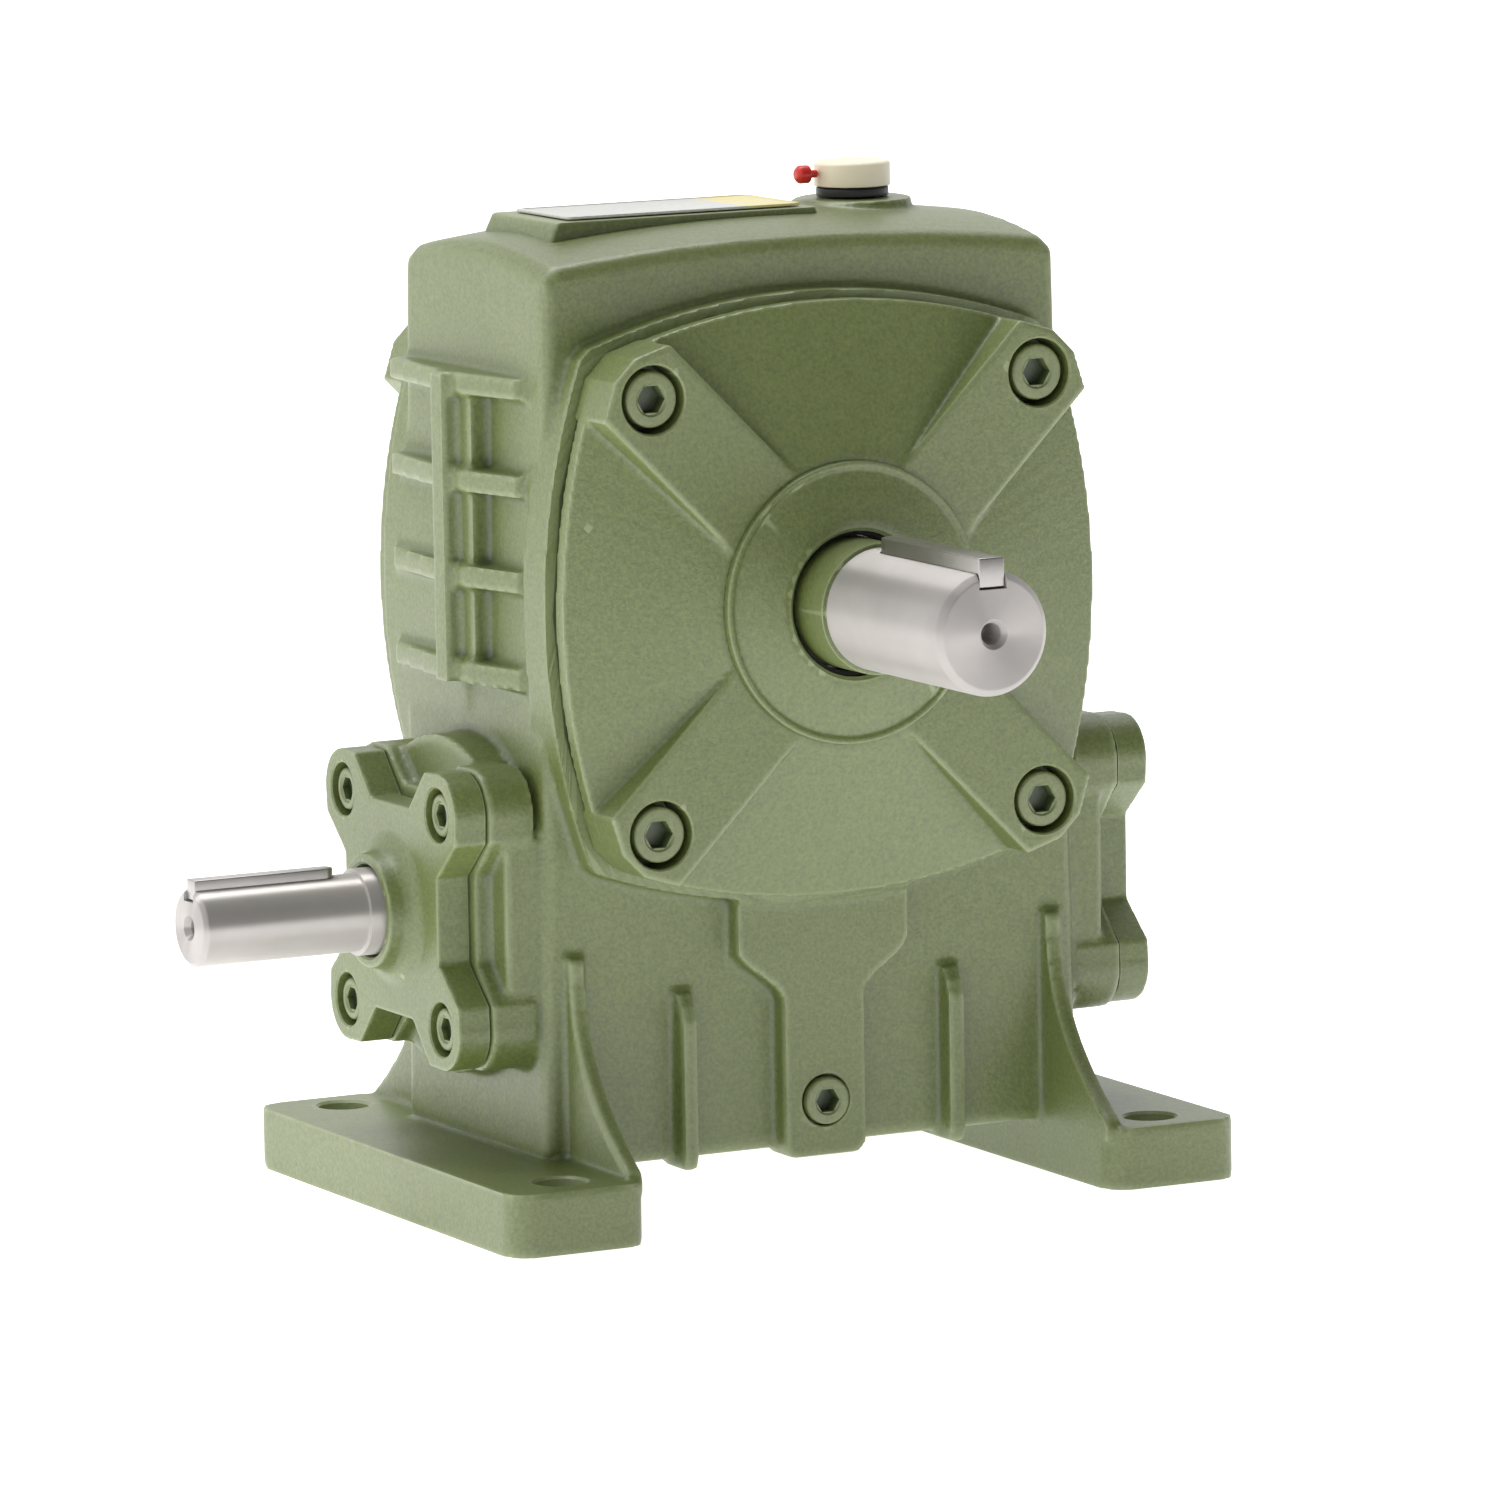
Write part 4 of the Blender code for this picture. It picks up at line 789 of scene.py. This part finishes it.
def arm_outline(turn):
    """One diagonal bar across the cover, its ends cut off along the plate's corners."""
    reach, half, tip_half = COVER_ARM_REACH, COVER_ARM_HALF, 3.7
    bar = [(-reach, -tip_half), (-reach + 4.2, -half), (reach - 4.2, -half), (reach, -tip_half)]
    bar += [(-a, -b) for a, b in bar]
    spin = Matrix.Rotation(turn, 2)
    return [((spin @ Vector(point)).x, (spin @ Vector(point)).y + WHEEL_Z) for point in bar]


def cover_shell(side):
    """The plate, whose face rises from its bulged edge to the round hub."""
    outline = bulged_square(PAD_HALF - COVER_INSET, PAD_CORNER - COVER_INSET, 0.93)

    def circle(radius):
        turns = [atan2(z - WHEEL_Z, x) for x, z in outline]
        return [(radius * cos(t), WHEEL_Z + radius * sin(t)) for t in turns]

    inner = bulged_square(PAD_HALF - COVER_INSET - 1.3, PAD_CORNER - COVER_INSET - 1.3, 0.93)
    rows = [(COVER_BACK_Y - 1, inner), (COVER_BACK_Y + 1.2, inner), (COVER_BACK_Y + 1.7, outline)]
    rows.append((COVER_RIM_Y, outline))
    rows += [(COVER_ARM_Y - 0.3, circle(COVER_HUB_RADIUS + 1)), (COVER_ARM_Y, circle(25.0))]
    return layers("shell", [[(x, side * y, z) for x, z in row] for y, row in rows])


def output_cover(node, side, with_hole):
    centre = (0.0, WHEEL_Z)

    def span(low, high):
        return sorted((side * low, side * high))

    back = COVER_BACK_Y
    shapes = [cover_shell(side)]
    for turn in (pi / 4, -pi / 4):
        shapes.append(prism("arm", "Y", arm_outline(turn), *span(back - 1, COVER_ARM_Y)))
    cover = casting(node, shapes, COVER_VOXEL)
    hub = COVER_HUB_RADIUS
    arm = COVER_ARM_Y
    dome = [(55.0, 5.0), (55.0, hub), (arm + 0.6, hub), (arm + 1.5, hub - 0.2), (arm + 1.5, hub - 1.2)]
    dome += [(arm + 1.0, hub - 2.0), (arm + 2.5, hub - 7.5), (COVER_HUB_Y, 19.0)]
    dome = softened(dome + [(COVER_HUB_Y, 12.0), (COVER_HUB_Y, 5.0)], 0.7)
    join(cover, turned("dome", "Y", centre, facing(side, dome), 160))
    pocket_end = 53.3
    recess_end = 60.3 if with_hole else 55.5
    pocket = [(20.0, 31.3), (pocket_end, 31.3), (pocket_end, 23.5), (recess_end, 23.5)]
    if with_hole:
        pocket += [(recess_end, SHAFT_HOLE_RADIUS), (COVER_HUB_Y - 0.8, SHAFT_HOLE_RADIUS)]
        pocket.append((COVER_HUB_Y + 1.2, SHAFT_HOLE_RADIUS + 2))
    tools = [turned("pocket", "Y", centre, facing(side, pocket), 128)]
    low, high = span(20.0, back)
    tools.append(block((-90.0, low, 50.0), (90.0, high, 230.0)))
    for spot in screw_places(centre, COVER_BOLT, COVER_BOLT):
        tools.append(well("Y", spot, COVER_ARM_Y, side, LARGE_SCREW, LARGE_WELL))
    cut(cover, tools)
    stand_for(smooth(cover, 40), node, "cover_paint")
    for i, spot in enumerate(screw_places(centre, COVER_BOLT, COVER_BOLT)):
        name = f"{node}_bolt_{i + 1}"
        piece = socket_screw(name, "Y", spot, COVER_ARM_Y - SCREW_SINK, side, LARGE_SCREW, 16.0)
        stand_for(piece, name, "screw_paint")


def lobed_cover(node, side, with_hole):
    centre = (0.0, WORM_Z)
    back, face = LOBED_BACK_X, LOBED_FACE_X

    def span(low, high):
        return sorted((side * low, side * high))

    shapes = [prism("plate", "X", lobed_outline(COVER_NOTCH, LOBE_RADIUS), *span(back - 1, face))]
    if with_hole:
        boss = [(back - 0.5, 19.0), (face - 0.5, 19.0), (face + 0.4, 16.6), (face + 1.4, 14.8)]
        boss += [(face + 3.0, 13.7), (INPUT_BOSS_X, 13.0)]
        shapes.append(turned("boss", "X", centre, facing(side, boss)))
        pocket = [(74.0, 17.5), (87.3, 17.5), (87.3, INPUT_HOLE_RADIUS)]
        pocket.append((INPUT_BOSS_X - 0.5, INPUT_HOLE_RADIUS))
        pocket.append((INPUT_BOSS_X + 1, INPUT_HOLE_RADIUS + 1.5))
    else:
        pocket = [(74.0, 18.0), (back + 1, 18.0)]
    cover = casting(node, shapes, LOBED_VOXEL)
    tools = [turned("pocket", "X", centre, facing(side, pocket), 96)]
    low, high = span(70.0, back)
    tools.append(block((low, -50.0, 20.0), (high, 50.0, 120.0)))
    for spot in screw_places(centre, LOBE_Y, LOBE_Z):
        tools.append(well("X", spot, face, side, SMALL_SCREW, SMALL_WELL))
    cut(cover, tools)
    stand_for(smooth(cover, 40), node, "cover_paint")
    for i, spot in enumerate(screw_places(centre, LOBE_Y, LOBE_Z)):
        name = f"{node}_bolt_{i + 1}"
        piece = socket_screw(name, "X", spot, face - SCREW_SINK, side, SMALL_SCREW, 11.0)
        stand_for(piece, name, "screw_paint")


# Shafts, keys and seals -------------------------------------------------------------------


def keyway(name, axis, along, across, centre_z, half_width):
    """A bar with one rounded end, square at the shaft's free end."""
    low, high = along
    end = arc((0, 0), half_width, 90, -90, 16)
    outline = [(low, half_width)] + [(high - half_width + a, b) for a, b in end] + [(low, -half_width)]
    if axis == "Y":
        outline = [(b, a) for a, b in outline]
    return prism(name, "Z", outline, centre_z + across[0], centre_z + across[1])


def shaft_end_hole(axis, centre, end, radius, depth):
    """The centre hole with its 60 degree mouth."""
    profile = [(end - 1, radius + 1.6), (end + 1.4, radius), (end + depth, radius), (end + depth + 2, 0.2)]
    return turned("centre_hole", axis, centre, profile, 48)


def paint_faces(piece, look, axis_index, low, high):
    """A second finish on the faces whose middle lies between two places along the shaft."""
    piece.data.materials.append(look)
    offset = ORIGIN[axis_index]
    for face in piece.data.polygons:
        along = (face.center[axis_index] - offset) / MM
        if low < along < high:
            face.material_index = 1


def output_shaft():
    centre = (0.0, WHEEL_Z)
    pin, seat, collar = 14.0, 15.0, 23.0
    profile = [(OUTPUT_END_Y, 0.3), (OUTPUT_END_Y, pin - 1.5), (OUTPUT_END_Y + 1.5, pin)]
    profile += [(OUTPUT_SHOULDER_Y, pin), (OUTPUT_SHOULDER_Y, seat), (PAINT_END_Y, seat)]
    profile += [(-16.5, seat), (-16.5, 17.5)]
    profile += [(16.3, 17.5), (16.3, collar), (22.0, collar), (22.0, seat)]
    profile += [(OUTPUT_REAR_Y - 1, seat), (OUTPUT_REAR_Y, seat - 1), (OUTPUT_REAR_Y, 0.3)]
    shaft = turned("output_shaft", "Y", centre, softened(profile, 0.35, 3), 144)
    slot = keyway("slot", "Y", (OUTPUT_END_Y - 2, KEY_END_Y), (pin - 4, pin + 5), WHEEL_Z, 3.5)
    wheel_slot = block((-5.0, -14.0, WHEEL_Z + 13), (5.0, 14.0, WHEEL_Z + 24))
    cut(shaft, [slot, wheel_slot, shaft_end_hole("Y", centre, OUTPUT_END_Y, 2.5, 9.0)])
    stand_for(smooth(shaft, 30), "output_shaft", "bare_steel")
    paint_faces(shaft, GREEN, 1, OUTPUT_SHOULDER_Y - 0.3, PAINT_END_Y)
    ends = (OUTPUT_END_Y + 0.6, KEY_END_Y - 0.3)
    key = keyway("key", "Y", ends, (pin - 3.7, pin + 3), WHEEL_Z, 3.2)
    stand_for(smooth(bevel(key, 0.35), 30), "output_key", "bare_steel", KEY_STEEL)


def worm_shaft():
    """The shaft's full length with its thread; only the input pin shows."""
    centre = (0.0, WORM_Z)
    pin, seat = 9.0, 10.0
    profile = [(INPUT_END_X, 0.3), (INPUT_END_X, pin - 1), (INPUT_END_X + 1, pin), (INPUT_SHOULDER_X, pin)]
    middle = [(61.7, seat), (61.7, 13.0), (51.7, 13.0), (36.0, 9.6), (29.0, 8.2)]
    profile += [(INPUT_SHOULDER_X, seat)] + [(-x, radius) for x, radius in middle] + middle[::-1]
    profile += [(WORM_FAR_END_X - 1, seat), (WORM_FAR_END_X, seat - 1), (WORM_FAR_END_X, 0.3)]
    shaft = turned("worm_shaft", "X", centre, softened(profile, 0.3, 3), 96)
    join(shaft, thread())
    slot = keyway("slot", "X", (INPUT_END_X - 2, INPUT_KEY_END_X), (pin - 3, pin + 5), WORM_Z, 2.5)
    cut(shaft, [slot, shaft_end_hole("X", centre, INPUT_END_X, 2.0, 7.0)])
    stand_for(smooth(shaft, 30), "worm_shaft", "bare_steel", INPUT_STEEL)
    ends = (INPUT_END_X + 0.6, INPUT_KEY_END_X - 0.3)
    key = keyway("key", "X", ends, (pin - 2.7, pin + 2), WORM_Z, 2.2)
    stand_for(smooth(bevel(key, 0.3), 30), "input_key", "bare_steel", KEY_STEEL)


def thread():
    """Single-start worm thread of module 3.75, its flanks at 20 degrees."""
    module, pitch_radius = 3.75, 13.75
    lead = pi * module
    half_pitch = lead / 4 - 0.2
    slope = tan(radians(20))
    tip, root = pitch_radius + module, pitch_radius - 1.2 * module
    crest = 2 * pi * (half_pitch - module * slope) / lead
    foot_angle = 2 * pi * (half_pitch + 1.2 * module * slope) / lead
    right = [(tip, -crest / 2), (tip, -crest), (pitch_radius, -(crest + foot_angle) / 2)]
    right += [(root, -foot_angle), (root, -(foot_angle + pi) / 2)]
    section = [(tip, 0.0)] + [(radius, -angle) for radius, angle in right] + [(root, pi)] + right[::-1]
    half, per_turn = 30.0, 40
    count = ceil(2 * half / lead * per_turn)
    rings = []
    for i in range(count + 1):
        x = -half + 2 * half * i / count
        turn = pi / 2 + 2 * pi * x / lead
        rings.append([(x, r * cos(t + turn), WORM_Z + r * sin(t + turn)) for r, t in section])
    return layers("thread", rings)


def seal(node, axis, centre, ends, bore, outer):
    """A shaft seal with a rounded shell and a lip that leans outwards."""
    near, far = ends
    profile = [(near, bore + 1.6), (near, outer), (far, outer), (far, outer - 2.6), (far - 0.9, outer - 3.4)]
    profile += [(far - 0.9, bore + 2.2), (far - 0.2, bore + 0.9), (far - 0.9, bore), (near + 1.5, bore)]
    piece = turned(node, axis, centre, facing(-1, profile), 96, closed=True)
    stand_for(smooth(piece, 40), node, "seal_rubber")


# Breather and nameplate -------------------------------------------------------------------


def breather():
    centre = (BREATHER_X, 0.0)
    base_low, base_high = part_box("breather_base")
    cap_low, cap_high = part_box("breather_cap")
    pin_low, pin_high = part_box("breather_pin")
    seat = BREATHER_BOSS_Z + 0.3
    top = base_high.z / MM
    bottom = base_low.z / MM
    profile = [(bottom, 0.4), (bottom, 5.0), (seat, 5.0), (seat, 8.4), (top, 8.4), (top, 0.4)]
    base = turned("base", "Z", centre, softened(profile, 0.4), 96)
    stand_for(smooth(base), "breather_base", "black_plastic")
    low, high = cap_low.z / MM, cap_high.z / MM
    profile = [(low, 0.4), (low, 8.9), (high - 0.5, 8.9), (high, 8.3), (high, 0.4)]
    cap = turned("cap", "Z", centre, softened(profile, 0.35), 96)
    stand_for(smooth(cap), "breather_cap", "cream_plastic")
    ends = ((pin_low.x - ORIGIN.x) / MM, (pin_high.x - ORIGIN.x) / MM)
    middle = (pin_low.z + pin_high.z) / 2 / MM
    nub_end = ends[1] - 2.2
    profile = [(ends[0], 0.2), (ends[0], 1.2), (ends[0] + 0.9, 2.1), (nub_end, 2.1), (nub_end, 0.9)]
    profile += [(ends[1], 0.9), (ends[1], 0.2)]
    pin = turned("pin", "X", (0.0, middle), softened(profile, 0.4), 48)
    stand_for(smooth(pin), "breather_pin", "red_plastic")


def nameplate():
    """A thin plate with a raised rim; its face is left blank."""
    low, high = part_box("nameplate")
    low, high = (low - ORIGIN) / MM, (high - ORIGIN) / MM
    outline = rounded_rectangle((low.x, low.y), (high.x, high.y), 2.0)
    plate = prism("plate", "Z", outline, low.z, high.z)
    inner = rounded_rectangle((low.x + 1.2, low.y + 1.2), (high.x - 1.2, high.y - 1.2), 1.4)
    cut(plate, [prism("face", "Z", inner, high.z - 0.15, high.z + 1)])
    stand_for(smooth(bevel(plate, 0.08, 2), 30), "nameplate", "plate")


# CAD nodes that keep their shape ----------------------------------------------------------

INNER_FINISHES = {
    "gasket": PAPER,
    "ring": BEARING_STEEL,
    "rollers": BEARING_STEEL,
    "wheel_rim": BRONZE,
    "wheel_hub": HUB_IRON,
    "wheel_key": KEY_STEEL,
    "spacer": OUTPUT_STEEL,
}


def dress_inner_nodes():
    for node, thing in frame["nodes"].items():
        for part, look in INNER_FINISHES.items():
            if part in node:
                thing.data.materials.clear()
                thing.data.materials.append(look)


# Build ------------------------------------------------------------------------------------

housing()
output_cover("output_cover_front", -1, True)
output_cover("output_cover_rear", 1, False)
lobed_cover("input_cover", -1, True)
lobed_cover("worm_end_cover", 1, False)
output_shaft()
worm_shaft()
seal("output_seal", "Y", (0.0, WHEEL_Z), (53.6, 60.0), 15.5, 23.2)
seal("input_seal", "X", (0.0, WORM_Z), (80.4, 87.0), 10.5, 17.2)
plug("drain_plug", DRAIN_Z, -1)
plug("oil_level_plug", LEVEL_Z, 1)
breather()
nameplate()
dress_inner_nodes()


# Studio -----------------------------------------------------------------------------------


# A lit table: the floor glows a little, so it is as white as the studio round it
FLOOR_GLOW = 0.95


def studio_floor():
    builder = bmesh.new()
    bmesh.ops.create_grid(builder, x_segments=4, y_segments=4, size=6.0)
    mesh = bpy.data.meshes.new("floor")
    builder.to_mesh(mesh)
    builder.free()
    floor = new_object("floor", mesh)
    m = Nodes("floor")
    drift = m.ramp(m.noise(3.0, 2.0), grey(0.86), grey(0.90))
    m.shader.inputs["Emission Color"].default_value = grey(1.0)
    glow = {"Emission_Strength": FLOOR_GLOW, "Specular_IOR_Level": 0.1}
    mesh.materials.append(m.finish(drift, m.span(m.noise(40.0), 0.55, 0.65), **glow))


def softbox(name, place_at, look_at, size, power):
    light = bpy.data.lights.new(name, "AREA")
    light.shape = "RECTANGLE"
    light.size, light.size_y = size
    light.energy = power
    lamp = new_object(name, light)
    lamp.location = Vector(place_at)
    lamp.rotation_mode = "QUATERNION"
    lamp.rotation_quaternion = (Vector(look_at) - Vector(place_at)).to_track_quat("-Z", "Y")
    lamp.visible_camera = False


# The studio is white all round, and dimmer towards the object's right front and above it.
DIM_SIDE = (0.47, -0.78, 0.41)


def studio_world():
    world = bpy.data.worlds.new("studio")
    world.use_nodes = True
    tree = world.node_tree
    direction = tree.nodes.new("ShaderNodeTexCoord")
    towards = tree.nodes.new("ShaderNodeVectorMath")
    towards.operation = "DOT_PRODUCT"
    towards.inputs[1].default_value = DIM_SIDE
    fade = tree.nodes.new("ShaderNodeMapRange")
    fade.interpolation_type = "SMOOTHSTEP"
    fade.inputs["From Min"].default_value = -0.1
    fade.inputs["From Max"].default_value = 0.85
    fade.inputs["To Min"].default_value = 1.08
    fade.inputs["To Max"].default_value = 0.12
    tree.links.new(direction.outputs["Generated"], towards.inputs[0])
    tree.links.new(towards.outputs["Value"], fade.inputs["Value"])
    tree.links.new(fade.outputs["Result"], tree.nodes["Background"].inputs["Strength"])
    tree.nodes["Background"].inputs["Color"].default_value = (1.0, 1.0, 1.0, 1.0)
    bpy.context.scene.world = world
    bpy.context.scene.view_settings.view_transform = "Standard"


def camera():
    """A long lens at the object's left front, a little above it."""
    azimuth, elevation, roll = radians(-27.20), radians(8.17), radians(-0.99)
    distance, aim_z, aim_right, aim_down = 2343.0, 120.0, 3.27, 20.47
    back = Vector((sin(azimuth) * cos(elevation), -cos(azimuth) * cos(elevation), sin(elevation)))
    level = Vector((0.0, 0.0, 1.0)).cross(back).normalized()
    upright = back.cross(level)
    right = level * cos(roll) + upright * sin(roll)
    up = upright * cos(roll) - level * sin(roll)
    spot = Vector((0.0, 0.0, aim_z)) + back * distance + right * aim_right - up * aim_down
    lens = bpy.data.cameras.new("camera")
    lens.lens = 242.83
    lens.sensor_width = 36.0
    lens.clip_start, lens.clip_end = 0.05, 50.0
    made = new_object("camera", lens)
    turn = Matrix((right, up, back)).transposed().to_4x4()
    made.matrix_world = Matrix.Translation(ORIGIN + spot * MM) @ turn
    bpy.context.scene.camera = made


studio_floor()
middle = (0.0, 0.0, 0.12)
softbox("key", (-1.5, 0.5, 0.5), middle, (1.6, 1.2), 2.0)
softbox("top", (0.0, 0.4, 1.6), middle, (1.4, 0.5), 13.0)
studio_world()
camera()
